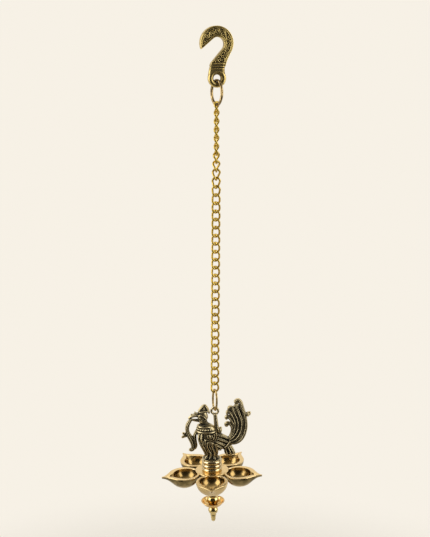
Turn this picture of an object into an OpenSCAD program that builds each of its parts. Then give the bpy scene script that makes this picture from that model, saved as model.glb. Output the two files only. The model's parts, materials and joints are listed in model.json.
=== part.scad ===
// Hanging chain oil lamp: a cast hook, a curb chain and a five-bowl brass lamp under a bird figure.
// Lengths are millimetres. The origin is the centre of the hook's bow, +Z is up and -Y is the front.

/* [Hook] */
// Radius of the bow that rests on the nail or rod
hook_bow_radius = 6.1; // [4.5:0.1:7.5]
// Radius of the crescent's outer edge
hook_outer_radius = 15; // [14:0.1:18]
// Thickness from front to back
hook_thickness = 6; // [4:0.1:8]
// Width of the raised border round the sunk field
hook_border = 1.7; // [1:0.1:2.5]
// Depth of the sunk field on the front
hook_field_depth = 1; // [0.2:0.1:1.2]
// Drop from the bow's centre to the eye's centre
hook_eye_drop = 29.5; // [27:0.1:34]
// Radius of the eye's throat
hook_eye_radius = 3.2; // [2.9:0.1:4]
// Radius of the round end that holds the eye
hook_bulb_radius = 8.2; // [7.5:0.1:10]
// Thickness of the round end
hook_bulb_thickness = 5.8; // [5:0.1:7]

/* [Chain] */
// Diameter of the upper ring's wire
ring_wire = 2.6; // [2:0.1:3]
// Outside length of the upper ring
ring_length = 24; // [20:0.5:30]
// Outside width of the upper ring
ring_width = 18; // [15:0.5:22]
// Diameter of the links' wire
link_wire = 1.9; // [1.6:0.1:2.2]
// Outside width of a link across its two legs
link_width = 8.4; // [7.8:0.1:9.2]
// Distance from each link to the next
link_pitch = 7.5; // [7:0.1:9]
// Turn of each link's end out of the link's flat
link_twist = 46; // [42:1:50]
// Diameter of the lower ring's wire
low_ring_wire = 2; // [1.6:0.1:2.2]
// Outside length of the lower ring
low_ring_length = 22; // [18:0.5:26]
// Outside width of the lower ring
low_ring_width = 11; // [9.5:0.5:14]

/* [Lamp] */
// Hole radius of the hanging eye
stem_eye_radius = 2.1; // [1.9:0.1:2.8]
// Wire thickness of the hanging eye
stem_eye_wire = 2.3; // [1.8:0.1:3]
// Diameter of the tie rod inside the lamp
rod_diameter = 4; // [3:0.1:4.6]
// Diameter of the hanging stem where it meets the eye
stem_diameter = 3.8; // [3:0.1:4.6]
// Height of the bird figure above its collar
figure_height = 61; // [55:0.5:68]
// Outer radius of the ribbed collar
collar_radius = 9.8; // [8.5:0.1:11.5]
// Height of the ribbed collar
collar_height = 11.4; // [9:0.1:14]
// Reach of each spout from the lamp's axis
spout_reach = 50; // [46:0.5:56]
// Distance of each bowl's centre from the axis
bowl_offset = 28; // [26:0.5:31]
// Outer radius of each bowl
bowl_radius = 15; // [13.5:0.1:16]
// Width of the flat rim
bowl_rim = 3.3; // [2.4:0.1:4]
// Depth of the dish below its rim
bowl_depth = 13; // [11:0.5:16]
// Thickness of each bowl's floor
bowl_floor = 2; // [1.2:0.1:3]
// Length of the baluster under the dish
baluster_length = 24; // [20:0.5:28]
// Radius of the baluster's ball
knop_radius = 5.8; // [5:0.1:6.5]
// Radius of the drip pan's rim
pan_radius = 11.4; // [10:0.1:13]
// Depth of the drip pan
pan_depth = 4.6; // [4:0.1:6]
// Radius of the finial's ball
finial_radius = 4.8; // [4.2:0.1:5.5]
// Length of the finial's point below its ball
finial_point = 7.3; // [5:0.1:12]

/* [Hidden] */
$fn = 64;
link_count = 36;
// Working slack between two pieces that hang on each other
hang_gap = 0.15;
bore_gap = 0.1;
// Headings about the vertical, in degrees from +X
ring_turn = -68;
chain_turn = -18;
chain_turn_after = 6;
chain_turn_links = 6;
low_ring_turn = -80;
lamp_turn = -14;
// The lamp's axis stands a little aside of its hanging eye,
lamp_shift = -4.2;
// so it hangs a little off plumb, turned about that eye
lamp_lean = 1.8;
// The bird stands upright on the leaning lamp and the stem slopes from its back to the eye
figure_lean = 2.4;
stem_lean = 4;
// Hook outline
crescent_centre = [-0.6, 0.9];
bow_open_left = 130.7;
bow_open_right = -40;
lip_radius = hook_bulb_thickness / 2 + 0.1;
// Heights of the hanging pieces
ring_top_z = -hook_eye_drop - hook_eye_radius + ring_wire / 2 + hang_gap;
ring_low_z = ring_top_z - ring_length + ring_wire;
link_length = link_pitch + link_wire + hang_gap;
link_1_z = ring_low_z + (ring_wire + link_wire) / 2 + hang_gap;
link_end_z = link_1_z - (link_count - 1) * link_pitch - link_length;
low_ring_top_z = link_end_z + (link_wire + low_ring_wire) / 2 + hang_gap;
low_ring_low_z = low_ring_top_z - low_ring_length + low_ring_wire;
eye_z = low_ring_low_z - stem_eye_radius + low_ring_wire / 2 + hang_gap;
// Heights inside the lamp, from its rim plane
figure_scale = figure_height / 61;
eye_height = collar_height + 48.4 * figure_scale;
stem_length = 18.5 * figure_scale;
hub_radius = bowl_offset - bowl_radius + 4;
hub_low = -bowl_depth + 0.5;
hub_top = -0.4;
pan_floor_z = hub_low - baluster_length;
knop_z = pan_floor_z + pan_depth + 0.4;
pan_low_z = pan_floor_z - 1.3;
finial_ball_z = pan_low_z - finial_radius + 0.3;
finial_low_z = finial_ball_z - finial_radius - finial_point;

function link_name(i) = str("chain_link_", i < 10 ? "0" : "", i);

function unit(v) = v / norm(v);

// Quadratic curve from a to c that leans on b
function lean(a, b, c, n) =
    [for (i = [0 : n]) let (t = i / n) a * (1 - t) * (1 - t) + b * 2 * t * (1 - t) + c * t * t];

// Smooth curve through every row of p, with n steps between rows
function through(p, n) =
    let (m = len(p) - 1)
    concat([for (i = [0 : m - 1], j = [0 : n - 1])
        let (
            t = j / n,
            a = p[max(i - 1, 0)],
            b = p[i],
            c = p[i + 1],
            d = p[min(i + 2, m)]
        )
        b + (c - a) * t / 2 + (a * 2 - b * 5 + c * 4 - d) * t * t / 2
            + (b * 3 - a - c * 3 + d) * t * t * t / 2], [p[m]]);

// Wire: arcs and straights stop just short of each other inside a bead that is barely wider than the wire

module bead(at, along, d) {
    translate(at)
        rotate([0, acos(along.z / norm(along)), atan2(along.y, along.x)])
            sphere(d = d * 1.03);
}

// Arc about the Z axis of its own frame, between two angles
module wire_arc(r, from, to, d) {
    trim = 2.4 * d / r;
    rotate([0, 0, from + trim])
        rotate_extrude(angle = to - from - 2 * trim)
            translate([r, 0])
                circle(d = d);
}

module straight(a, b, d) {
    v = b - a;
    translate(a)
        rotate([0, acos(v.z / norm(v)), atan2(v.y, v.x)])
            translate([0, 0, 0.04 * d])
                cylinder(d = d, h = norm(v) - 0.08 * d);
}

// Arc that rounds the corner b between a and c, leaving each leg at distance reach
module bend(a, b, c, reach, d) {
    u = unit(a - b);
    v = unit(c - b);
    turn = 180 - acos(u * v);
    r = reach / tan(turn / 2);
    centre = b + unit(u + v) * r / cos(turn / 2);
    x = unit(b + u * reach - centre);
    z = unit(cross(x, b + v * reach - centre));
    y = cross(z, x);
    multmatrix([
        [x.x, y.x, z.x, centre.x],
        [x.y, y.y, z.y, centre.y],
        [x.z, y.z, z.z, centre.z],
        [0, 0, 0, 1]
    ])
        wire_arc(r, 0, turn, d);
}

// Oval ring in the XZ plane, sawn through one leg where the wire's ends meet
module split_ring(length, width, wire) {
    a = (length - wire) / 2;
    b = (width - wire) / 2;
    end_r = b * 0.75;
    side_r = ((a - end_r) * (a - end_r) + b * b - end_r * end_r) / (2 * (b - end_r));
    turn = atan2(a - end_r, side_r - b);
    join = [end_r * cos(turn), a - end_r + end_r * sin(turn)];
    rotate([90, 0, 0])
        difference() {
            union() {
                for (s = [0, 180])
                    rotate([0, 0, s]) {
                        translate([0, a - end_r, 0])
                            wire_arc(end_r, turn, 180 - turn, wire);
                        translate([b - side_r, 0, 0])
                            wire_arc(side_r, -turn, turn, wire);
                        bead([join.x, join.y, 0], [-sin(turn), cos(turn), 0], wire);
                        bead([-join.x, join.y, 0], [sin(turn), cos(turn), 0], wire);
                    }
            }
            translate([-b, 0, 0])
                cube([wire * 2, 0.25, wire * 2], center = true);
        }
}

module upper_ring() {
    color("#a07c45")
        translate([0, 0, (ring_top_z + ring_low_z) / 2])
            rotate([0, 0, ring_turn])
                split_ring(ring_length, ring_width, ring_wire);
}

module lower_ring() {
    color("#a07c45")
        translate([0, 0, (low_ring_top_z + low_ring_low_z) / 2])
            rotate([0, 0, low_ring_turn])
                split_ring(low_ring_length, low_ring_width, low_ring_wire);
}

// The chain hangs edge on from the upper ring and turns its flat to the front a few links down
function link_heading(i) =
    let (first = ring_turn + 90 + link_twist)
    first + (chain_turn - first) * min(max(i - chain_turn_after, 0), chain_turn_links) / chain_turn_links;

// Twisted link: its top end leans one way out of the flat and its bottom end the other way
module curb_link() {
    w = (link_width - link_wire) / 2;
    y = w * tan(link_twist);
    l = link_length / 2;
    reach = norm([w, y]);
    for (s = [1, -1]) {
        top = [s * w, -s * y, l];
        low = [s * w, s * y, -l];
        leg = unit(low - top) * reach;
        bend(-top + [0, 0, 2 * l], top, low, reach, link_wire);
        bend(top, low, -low - [0, 0, 2 * l], reach, link_wire);
        straight(top + leg, low - leg, link_wire);
        bead(top + leg, leg, link_wire);
        bead(low - leg, leg, link_wire);
        bead([0, 0, s * l], [w, -s * y, 0], link_wire);
    }
}

module chain_link(i) {
    color("#d9b04a")
        translate([0, 0, link_1_z - (i - 1) * link_pitch - link_length / 2])
            rotate([0, 0, link_heading(i)])
                curb_link();
}

// Hook

// Space under the bow, from the nail's seat out to the open mouth
module hook_mouth(r) {
    a = bow_open_left;
    b = bow_open_right;
    reach = hook_outer_radius * 2.3;
    from_a = [cos(a), sin(a)] * r;
    from_b = [cos(b), sin(b)] * r;
    circle(r);
    polygon([
        from_a,
        from_a + [cos(a + 90), sin(a + 90)] * reach,
        from_b + [cos(b - 90), sin(b - 90)] * reach,
        from_b
    ]);
}

module hook_outline(inset) {
    bow = hook_bow_radius + inset;
    bulb = hook_bulb_radius - inset;
    side = crescent_centre + [cos(-28), sin(-28)] * (hook_outer_radius - inset);
    waist = [7 - inset, -21];
    eye_z2 = -hook_eye_drop;
    difference() {
        union() {
            translate(crescent_centre)
                circle(hook_outer_radius - inset);
            polygon(concat(
                lean(side, [7.6 - inset, -15], waist, 7),
                lean(waist, [7 - inset, -25], [bulb, eye_z2], 5),
                lean([-bulb, eye_z2], [-8 + inset, -23], [-5.6 + inset, -16.2], 5),
                [[cos(bow_open_right), sin(bow_open_right)] * bow]
            ));
        }
        hook_mouth(bow);
    }
}

module hook() {
    color("#6f5d3a")
        rotate([90, 0, 0])
            difference() {
                union() {
                    linear_extrude(hook_thickness, center = true)
                        hook_outline(0);
                    // Three bands across the neck
                    linear_extrude(hook_thickness + 1, center = true)
                        intersection() {
                            hook_outline(0);
                            for (i = [0 : 2])
                                translate([-20, -17.6 - 2.1 * i])
                                    square([40, 1.3]);
                        }
                    // Round end with a rolled edge
                    translate([0, -hook_eye_drop, 0])
                        rotate_extrude()
                            intersection() {
                                translate([0, -hook_bulb_thickness / 2])
                                    square([hook_bulb_radius, hook_bulb_thickness]);
                                union() {
                                    translate([hook_bulb_radius - lip_radius, 0])
                                        circle(lip_radius);
                                    translate([0, -hook_bulb_thickness / 2])
                                        square([hook_bulb_radius - lip_radius, hook_bulb_thickness]);
                                }
                            }
                }
                // Eye with rounded lips
                translate([0, -hook_eye_drop, 0])
                    rotate_extrude()
                        difference() {
                            translate([0, -hook_bulb_thickness])
                                square([hook_eye_radius + lip_radius, hook_bulb_thickness * 2]);
                            translate([hook_eye_radius + lip_radius, 0])
                                circle(lip_radius);
                        }
                // Sunk field on the front
                translate([0, 0, hook_thickness / 2 - hook_field_depth])
                    linear_extrude(hook_field_depth + 1)
                        difference() {
                            hook_outline(hook_border);
                            translate([-40, -70])
                                square([80, 70 - 16]);
                        }
            }
}

// Lamp

module lamp_place() {
    translate([0, 0, eye_z])
        rotate([0, -lamp_lean, lamp_turn])
            translate([lamp_shift, 0, -eye_height])
                children();
}

// Frame of the hanging stem: its eye is the origin
module stem_place() {
    translate([-lamp_shift, 0, eye_height])
        rotate([0, -stem_lean, 0])
            children();
}

// Cast eye on a tapered stem, with a spigot that screws into the bird's back
module hanging_stem() {
    r = stem_diameter / 2;
    ring = stem_eye_radius + stem_eye_wire / 2;
    color("#8a7448")
        lamp_place()
            stem_place() {
                rotate([90, 0, 0])
                    rotate_extrude()
                        translate([ring, 0])
                            circle(d = stem_eye_wire);
                translate([0, 0, -stem_length])
                    cylinder(r1 = r + 0.4, r2 = r, h = stem_length - ring);
                translate([0, 0, -stem_length - 10])
                    cylinder(r = r - 0.4, h = 11);
            }
}

// Rod that ties the stack together, from inside the bird to the finial
module tie_rod() {
    color("#b08d4c")
        lamp_place()
            translate([0, 0, finial_ball_z])
                cylinder(d = rod_diameter, h = collar_height + 12 * figure_scale - finial_ball_z);
}

// Tapered strand of cast feather or vine in the XZ plane
// Each row of p is x, z, half width, half thickness and distance to the side
module strand(p, sides = 7, n = 3) {
    q = through(p, n);
    m = len(q);
    polyhedron(
        points = [for (i = [0 : m - 1])
            let (
                a = q[max(i - 1, 0)],
                b = q[min(i + 1, m - 1)],
                t = unit([b.x - a.x, b.y - a.y])
            )
            for (j = [0 : sides - 1])
                let (k = 360 * j / sides, w = q[i][2] * cos(k))
                [q[i].x - w * t.y, q[i][4] + q[i][3] * sin(k), q[i].y + w * t.x]],
        faces = concat(
            [[for (j = [sides - 1 : -1 : 0]) j]],
            [for (i = [0 : m - 2], j = [0 : sides - 1])
                let (k = (j + 1) % sides)
                [i * sides + j, i * sides + k, (i + 1) * sides + k, (i + 1) * sides + j]],
            [[for (j = [0 : sides - 1]) (m - 1) * sides + j]]
        ),
        convexity = 6
    );
}

// Seed-shaped bud between two balls
module bud(a, ra, b, rb) {
    hull() {
        translate([a.x, 0, a.y])
            sphere(ra, $fn = 10);
        translate([b.x, 0, b.y])
            sphere(rb, $fn = 8);
    }
}

module both_sides() {
    children();
    mirror([0, 1, 0])
        children();
}

module figure_head() {
    strand([[-6, 32, 5.4, 5, 0], [-7.6, 36, 3.4, 3.4, 0], [-9, 39, 4.4, 4.2, 0], [-9.2, 42.6, 5.2, 4.8, 0],
        [-9, 47, 3.8, 3.4, 0]], 10, 2);
    // Open beak with a comb
    strand([[-11.5, 44, 3, 2.8, 0], [-15.5, 44, 2.2, 2.1, 0], [-19, 42.8, 1.7, 1.6, 0],
        [-22, 41, 1.1, 1.1, 0], [-22.8, 39.6, 0.5, 0.5, 0]], 6, 2);
    strand([[-11, 38.6, 2, 2.2, 0], [-14.6, 38.5, 1.5, 1.7, 0], [-18, 38.9, 1.2, 1.5, 0],
        [-21.6, 39.6, 0.9, 1.1, 0]], 6, 2);
    bud([-15.6, 44.6], 1.4, [-17, 47], 0.7);
    bud([-18.8, 43.4], 1.2, [-20.4, 44.8], 0.6);
    // Crest: an arched edge round a leaf, on a band
    strand([[-13.2, 47.2, 1.3, 1.6, 0], [-10.6, 51.4, 1.4, 1.6, 0], [-7.6, 53.6, 1.4, 1.4, 0],
        [-5.4, 51.2, 1.4, 1.6, 0], [-3.9, 48, 1.3, 1.6, 0], [-3, 45.6, 0.8, 0.9, 0]], 6, 2);
    strand([[-8.6, 46.5, 3.8, 2.2, 0], [-8.2, 50, 2.6, 1.7, 0], [-7.7, 53.4, 0.9, 0.9, 0]], 6, 2);
    strand([[-13, 47.2, 1, 2.4, 0], [-8.5, 48.2, 1.1, 3.4, 0], [-4.5, 48.2, 1, 2.2, 0]], 6, 2);
    both_sides()
        translate([-11.8, -4, 42.2])
            sphere(1.7, $fn = 10);
}

// Vine that hangs from the beak and joins the breast
module figure_vine() {
    strand([[-19.6, 39.8, 1.3, 1.4, 0], [-21.6, 37.4, 1.8, 1.9, 0], [-23.4, 33.8, 2.1, 2.1, 0],
        [-24, 29, 2, 2, 0], [-22.8, 24.6, 2.1, 2, 0], [-20.8, 20.8, 2.7, 2.1, 0],
        [-19, 17, 2.6, 2, 0], [-18, 13.4, 2.4, 2, 0], [-18, 10.2, 2.2, 1.9, 0],
        [-19.6, 8.4, 1.9, 1.7, 0], [-22, 8.8, 1.2, 1.2, 0]], 7, 2);
    strand([[-13.6, 29.4, 1.6, 2.2, 0], [-16, 25.6, 1.5, 1.8, 0], [-16.7, 21, 1.9, 1.7, 0],
        [-15.9, 16.6, 1.6, 1.7, 0], [-15.5, 12.8, 1.7, 1.7, 0], [-16.8, 9.6, 1.6, 1.5, 0]], 6, 2);
    bud([-23.6, 23.6], 1.2, [-28, 25.2], 1.3);
    bud([-23.4, 22.8], 1.1, [-28.6, 21.2], 1.3);
    bud([-24, 23.2], 1.2, [-27.2, 23.2], 1.4);
}

module figure_body() {
    strand([[-7.6, 35.6, 3.4, 3.4, 0], [-6.6, 31.8, 7.8, 6.2, 0], [-5.2, 27, 9.4, 7.2, 0],
        [-4, 21.5, 8.8, 7, 0], [-2.2, 15.5, 7, 6, 0], [-0.6, 9.5, 5.4, 5, 0],
        [0.2, 4, 4.6, 4.4, 0], [0, -1, 5.4, 5, 0]], 12, 2);
    // Flared foot on the collar
    translate([0, 0, -1])
        cylinder(r1 = 9.3, r2 = 6, h = 2.4, $fn = 18);
    // Necklaces
    for (i = [0 : 2])
        translate([-7 + 0.7 * i, 0, 33.2 - 2.4 * i])
            scale([0.98 + 0.18 * i, 0.78 + 0.11 * i, 1])
                rotate_extrude($fn = 16)
                    translate([7, 0])
                        circle(0.95, $fn = 6);
    // Left skirt feather
    strand([[-10, 26.4, 2.4, 3.6, 0], [-11.8, 21.6, 1.8, 2.8, 0], [-11, 17, 1.8, 2.4, 0],
        [-9.4, 12.6, 1.8, 2.2, 0], [-7.2, 8.6, 1.4, 1.8, 0], [-5, 5, 1, 1.2, 0]], 6, 2);
    both_sides() {
        // Folded wing: three arcs one inside the other
        for (r = [2, 4.1, 6.2])
            strand([for (a = [150 : 30 : 390]) [-2 + r * cos(a), 25 + r * sin(a), 0.95, 1.5,
                -6.5 + 0.06 * r * r * abs(cos(a))]], 6, 1);
        // Wavy feathers that hang to the base
        strand([[-8, 20, 1.5, 1.7, -5.2], [-8.4, 15.5, 1.5, 1.6, -4.9], [-6.4, 11, 1.5, 1.5, -4.3],
            [-4.4, 7, 1.4, 1.4, -3.6], [-4, 1, 1.2, 1.2, -3.6]], 6, 2);
        strand([[-4, 18.6, 1.6, 1.7, -6], [-4.2, 14, 1.6, 1.6, -5.4], [-2.4, 9.6, 1.5, 1.5, -4.6],
            [-0.8, 5.4, 1.4, 1.4, -4.1], [-1.4, 0.6, 1.3, 1.3, -4.3]], 6, 2);
        strand([[0.4, 18.4, 1.6, 1.7, -5.8], [0.2, 14.2, 1.6, 1.6, -5.2], [1.8, 10, 1.5, 1.5, -4.5],
            [2.6, 5.6, 1.4, 1.4, -3.9], [1.8, 0.6, 1.3, 1.3, -4.2]], 6, 2);
        strand([[4, 17, 1.5, 1.6, -5], [3.8, 13, 1.5, 1.5, -4.6], [5, 9, 1.4, 1.4, -3.4],
            [4.6, 5, 1.3, 1.3, -2.8], [4.6, 0.6, 1.2, 1.2, -2.6]], 6, 2);
    }
    bud([6.6, 24.6], 2.2, [7.2, 29.8], 2.5);
    bud([7.2, 29.8], 2.3, [8.6, 32], 1.1);
}

module figure_tail() {
    // Side feathers from the body down to the tail's root, with a thin web behind them
    rotate([90, 0, 0])
        linear_extrude(3, center = true)
            polygon([[0, 24], [14, 22], [17, 18], [14, 12], [9, 9.6], [2, 9]]);
    strand([[1, 25.2, 2, 3.6, 0], [6, 24.4, 1.8, 3.2, 0], [10.5, 23.2, 1.6, 2.6, 0],
        [15.5, 21, 1.3, 2, 0]], 6, 2);
    strand([[1, 22.6, 2, 3.8, 0], [6, 20.8, 1.9, 3.4, 0], [11, 18.8, 1.7, 2.8, 0],
        [15.4, 17.2, 1.4, 2.4, 0]], 6, 2);
    strand([[1, 19.6, 2, 3.8, 0], [5.6, 17.2, 1.9, 3.4, 0], [10, 15, 1.7, 2.8, 0],
        [14, 13.6, 1.4, 2.4, 0]], 6, 2);
    strand([[1, 16, 1.9, 3.6, 0], [5.2, 13.6, 1.7, 2.8, 0], [8.8, 11.6, 1.5, 2.2, 0],
        [11.8, 10.4, 1, 1.6, 0]], 6, 2);
    strand([[1.5, 12.4, 1.7, 3, 0], [4.8, 10.4, 1.5, 2.4, 0], [7.6, 9.2, 1.1, 1.8, 0],
        [9.2, 8.8, 0.8, 1, 0]], 6, 2);
    // Strap round the tail's root
    strand([[12.2, 11.6, 1.1, 2.6, 0], [14.6, 14.4, 1.2, 3, 0], [17.6, 18.4, 1.1, 2.8, 0]], 6, 2);
    // Lower fan
    strand([[13.6, 12.8, 1.8, 2.4, 0], [13.6, 8.6, 2, 2.3, 0], [14.6, 5.6, 1.9, 2.1, 0],
        [16, 3.4, 1, 1.1, 0]], 6, 2);
    strand([[15.4, 13.2, 1.8, 2.5, 0], [17.2, 8.8, 2.1, 2.4, 0], [18.2, 5.8, 1.9, 2.1, 0],
        [19.2, 3.6, 1, 1.1, 0]], 6, 2);
    strand([[17, 14, 1.7, 2.4, 0], [19.2, 10, 1.9, 2.3, 0], [20.9, 6.8, 1.7, 2, 0],
        [22.2, 4.8, 0.9, 1, 0]], 6, 2);
    // Plume: a thin web and six feathers in relief, from the outer one to the inner one
    rotate([90, 0, 0])
        linear_extrude(2.6, center = true)
            polygon([[17, 18], [24, 19], [29, 26], [30.5, 34], [29, 44], [26.5, 52], [24, 57],
                [21, 55], [18, 51], [16, 46], [16, 41], [19, 36], [19.5, 30], [18, 24]]);
    strand([[16.5, 17, 2.2, 2.6, 0], [21.5, 16.8, 2.2, 2.8, 0], [26.5, 19.4, 2.3, 2.8, 0],
        [30, 24.8, 2.3, 2.8, 0], [31.7, 32, 2.2, 2.7, 0], [31.5, 39, 2.1, 2.6, 0],
        [30.2, 46, 2, 2.5, 0], [28, 52.4, 2, 2.4, 0], [26.8, 57.2, 1.9, 2.3, 0],
        [24.2, 59.8, 1.8, 2.1, 0], [21.4, 58.4, 1.4, 1.7, 0], [22.4, 56, 1, 1.2, 0]], 7, 2);
    strand([[16.8, 18.2, 2.1, 2.6, 0], [22.4, 20.6, 2.3, 3, 0], [26.4, 26.4, 2.3, 3, 0],
        [28, 33, 2.3, 3, 0], [27.7, 39.6, 2.3, 2.9, 0], [25.2, 46, 2.1, 2.7, 0],
        [23.2, 51.6, 2, 2.5, 0], [22.4, 55.8, 1.8, 2.2, 0]], 7, 2);
    strand([[16.6, 19.6, 2, 2.5, 0], [21, 23.8, 2.2, 2.9, 0], [24.2, 29.6, 2.2, 2.9, 0],
        [24.8, 35.6, 2.2, 2.9, 0], [23.6, 41.6, 2.1, 2.8, 0], [21, 47.2, 2, 2.6, 0],
        [18.4, 52, 1.8, 2.2, 0], [15.8, 52.2, 1.5, 1.8, 0], [15.2, 50, 1.1, 1.3, 0]], 7, 2);
    strand([[20.8, 29, 2, 2.6, 0], [22, 35, 2, 2.7, 0], [20.6, 41, 2, 2.6, 0],
        [17.8, 46, 1.8, 2.3, 0], [15, 48.4, 1.5, 1.9, 0], [13.8, 46.6, 1.3, 1.6, 0],
        [15, 45.2, 1, 1.1, 0]], 7, 2);
    strand([[17.6, 21.6, 1.9, 2.4, 0], [20.6, 26.4, 2, 2.6, 0], [21.6, 32, 2, 2.6, 0],
        [19.8, 37.4, 1.9, 2.5, 0], [16.6, 41.6, 1.7, 2.2, 0], [14, 43.4, 1.5, 1.8, 0],
        [12.8, 41.6, 1.3, 1.5, 0], [14.2, 40.2, 1, 1.1, 0]], 7, 2);
    strand([[17, 21.4, 1.8, 2.2, 0], [18.9, 25.8, 1.9, 2.3, 0], [19.6, 30.4, 1.9, 2.3, 0],
        [18.2, 34.4, 1.8, 2.1, 0], [15.2, 36.6, 1.6, 1.9, 0], [12.8, 35.8, 1.4, 1.6, 0],
        [13.2, 33.6, 1.2, 1.3, 0], [15, 33.8, 1, 1, 0]], 7, 2);
    // Bud on the plume's outer edge
    bud([30.8, 45.4], 1.5, [34.4, 45.8], 2.6);
    bud([34.4, 45.8], 2.3, [35.8, 48], 1.3);
    // Seeds inside the curls
    for (c = [[14.2, 34.8, 1.8], [14, 42, 1.7], [15, 47.2, 1.7], [16.8, 51, 1.6], [23.2, 57.6, 1.8]])
        translate([c.x, 0, c.y])
            sphere(c.z, $fn = 10);
}

module bird_figure() {
    color("#7a6a48")
        lamp_place()
            difference() {
                translate([0, 0, collar_height])
                    rotate([0, figure_lean, 0])
                        scale(figure_scale) {
                            figure_head();
                            figure_vine();
                            figure_body();
                            figure_tail();
                        }
                // Flat foot
                translate([-30, -30, collar_height - 10])
                    cube([60, 60, 10]);
                // Blind hole for the tie rod
                cylinder(d = rod_diameter + 2 * bore_gap, h = collar_height + 12.5 * figure_scale, $fn = 20);
                // Threaded hole and seat for the hanging stem
                stem_place() {
                    translate([0, 0, -stem_length - 10.5])
                        cylinder(d = stem_diameter - 0.8 + 2 * bore_gap, h = 12, $fn = 20);
                    translate([0, 0, -stem_length])
                        cylinder(d = stem_diameter + 0.8 + 2 * bore_gap, h = 30, $fn = 20);
                    // Room round the hanging eye
                    rotate([90, 0, 0])
                        cylinder(r = stem_eye_radius + stem_eye_wire + hang_gap, h = stem_eye_wire * 2,
                            center = true, $fn = 24);
                }
            }
}

module ribbed_collar() {
    rib = (collar_height - hub_top) / 6;
    inner = rod_diameter / 2 + bore_gap;
    color("#b58f45")
        lamp_place()
            translate([0, 0, hub_top])
                rotate_extrude() {
                    translate([inner, 0])
                        square([collar_radius - rib * 1.15 - inner, rib * 6]);
                    for (i = [0 : 2])
                        translate([collar_radius - rib, rib * (2 * i + 1)])
                            circle(rib * 0.995);
                }
}

// Cross sections of a pointed bowl from its inner end to its spout: distance, half width, depth
function petal_rows(radius, tip, depth, tip_width, tip_depth) =
    let (
        round = [for (a = [168, 150, 130, 110, 90, 74, 58])
            [bowl_offset + radius * cos(a), radius * sin(a)]],
        last = round[len(round) - 1],
        gap = tip - last.x,
        point = [tip, tip_width],
        ease = last + [sin(58), -cos(58)] * gap * 0.4,
        waist = [tip - gap * 0.42, tip_width + last.y * 0.1],
        ogee = [for (i = [1 : 6]) let (t = i / 6, s = 1 - t)
            last * s * s * s + ease * 3 * s * s * t + waist * 3 * s * t * t + point * t * t * t]
    )
    [for (p = concat(round, ogee))
        let (u = (bowl_offset - p.x) / radius, v = p.y / radius)
        [p.x, p.y, u > 0 ? depth * sqrt(1 - u * u) : tip_depth + (depth - tip_depth) * pow(v, 1.2)]];

// Pointed bowl with a flat top at height top; its underside is half an ellipse at each cross section
module petal(rows, top, sides) {
    n = sides + 3;
    m = len(rows);
    polyhedron(
        points = [for (p = rows, k = [0 : n - 1])
            k <= sides
                ? [p[0], p[1] * cos(180 + 180 * k / sides), p[2] * sin(180 + 180 * k / sides)]
                : [p[0], k == sides + 1 ? p[1] : -p[1], top]],
        faces = concat(
            [[for (k = [0 : n - 1]) k]],
            [for (i = [0 : m - 2], k = [0 : n - 1]) let (l = (k + 1) % n)
                [i * n + l, i * n + k, (i + 1) * n + k, (i + 1) * n + l]],
            [[for (k = [n - 1 : -1 : 0]) (m - 1) * n + k]]
        ),
        convexity = 6
    );
}

module lamp_dish() {
    inner = bowl_radius - bowl_rim;
    tip = spout_reach - bowl_rim * 1.9;
    color("#c49a45")
        lamp_place()
            difference() {
                union() {
                    for (i = [0 : 4])
                        rotate([0, 0, -90 + 72 * i])
                            petal(petal_rows(bowl_radius, spout_reach, bowl_depth, 1.1, 1.8), 0, 8);
                    rotate_extrude($fn = 30)
                        polygon([[0, hub_top], [hub_radius, hub_top], [hub_radius, -2.5],
                            [hub_radius * 0.72, -8], [6.5, hub_low], [0, hub_low]]);
                }
                for (i = [0 : 4])
                    rotate([0, 0, -90 + 72 * i]) {
                        petal(petal_rows(inner, tip, bowl_depth - bowl_floor, 0.5, 0.8), 1, 7);
                        // Wick groove towards the spout
                        hull() {
                            translate([bowl_offset + inner * 0.8, 0, -1.3])
                                sphere(2.3, $fn = 9);
                            translate([tip - 0.5, 0, 0.37])
                                sphere(1.3, $fn = 7);
                        }
                        // Hollow of the bowl
                        hull() {
                            translate([bowl_offset, 0, 0.13])
                                cylinder(r = inner * 0.9, h = 1, $fn = 12);
                            translate([bowl_offset, 0, -bowl_depth * 0.5])
                                cylinder(r = inner * 0.55, h = 1, $fn = 12);
                        }
                    }
                translate([0, 0, hub_low - 1])
                    cylinder(d = rod_diameter + 2 * bore_gap, h = bowl_depth + 2, $fn = 24);
            }
}

// Flared foot under the hub, a slim neck and a ball that sits in the pan
module baluster() {
    inner = rod_diameter / 2 + bore_gap;
    neck = inner + 1.3;
    color("#c49a45")
        lamp_place()
            difference() {
                union() {
                    translate([0, 0, pan_floor_z])
                        cylinder(r = neck, h = baluster_length);
                    translate([0, 0, hub_low - 6.5])
                        cylinder(r1 = neck - 0.4, r2 = 4.8, h = 4);
                    translate([0, 0, hub_low - 3])
                        cylinder(r1 = 4.4, r2 = 6.4, h = 3);
                    intersection() {
                        translate([0, 0, knop_z])
                            sphere(knop_radius);
                        translate([0, 0, pan_floor_z])
                            cylinder(r = knop_radius + 1, h = knop_radius * 2);
                    }
                }
                translate([0, 0, pan_floor_z - 1])
                    cylinder(r = inner, h = baluster_length + 2);
            }
}

module drip_pan() {
    inner = rod_diameter / 2 + bore_gap;
    rim = pan_floor_z + pan_depth;
    color("#c49a45")
        lamp_place()
            rotate_extrude()
                polygon([[inner, pan_floor_z], [knop_radius, pan_floor_z],
                    [pan_radius * 0.74, pan_floor_z + pan_depth * 0.3],
                    [pan_radius * 0.88, rim - 0.9], [pan_radius, rim - 0.3], [pan_radius, rim - 1.3],
                    [pan_radius * 0.88, rim - 2.2], [pan_radius * 0.72, pan_floor_z - 0.2],
                    [knop_radius * 0.9, pan_low_z], [inner, pan_low_z]]);
}

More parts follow.
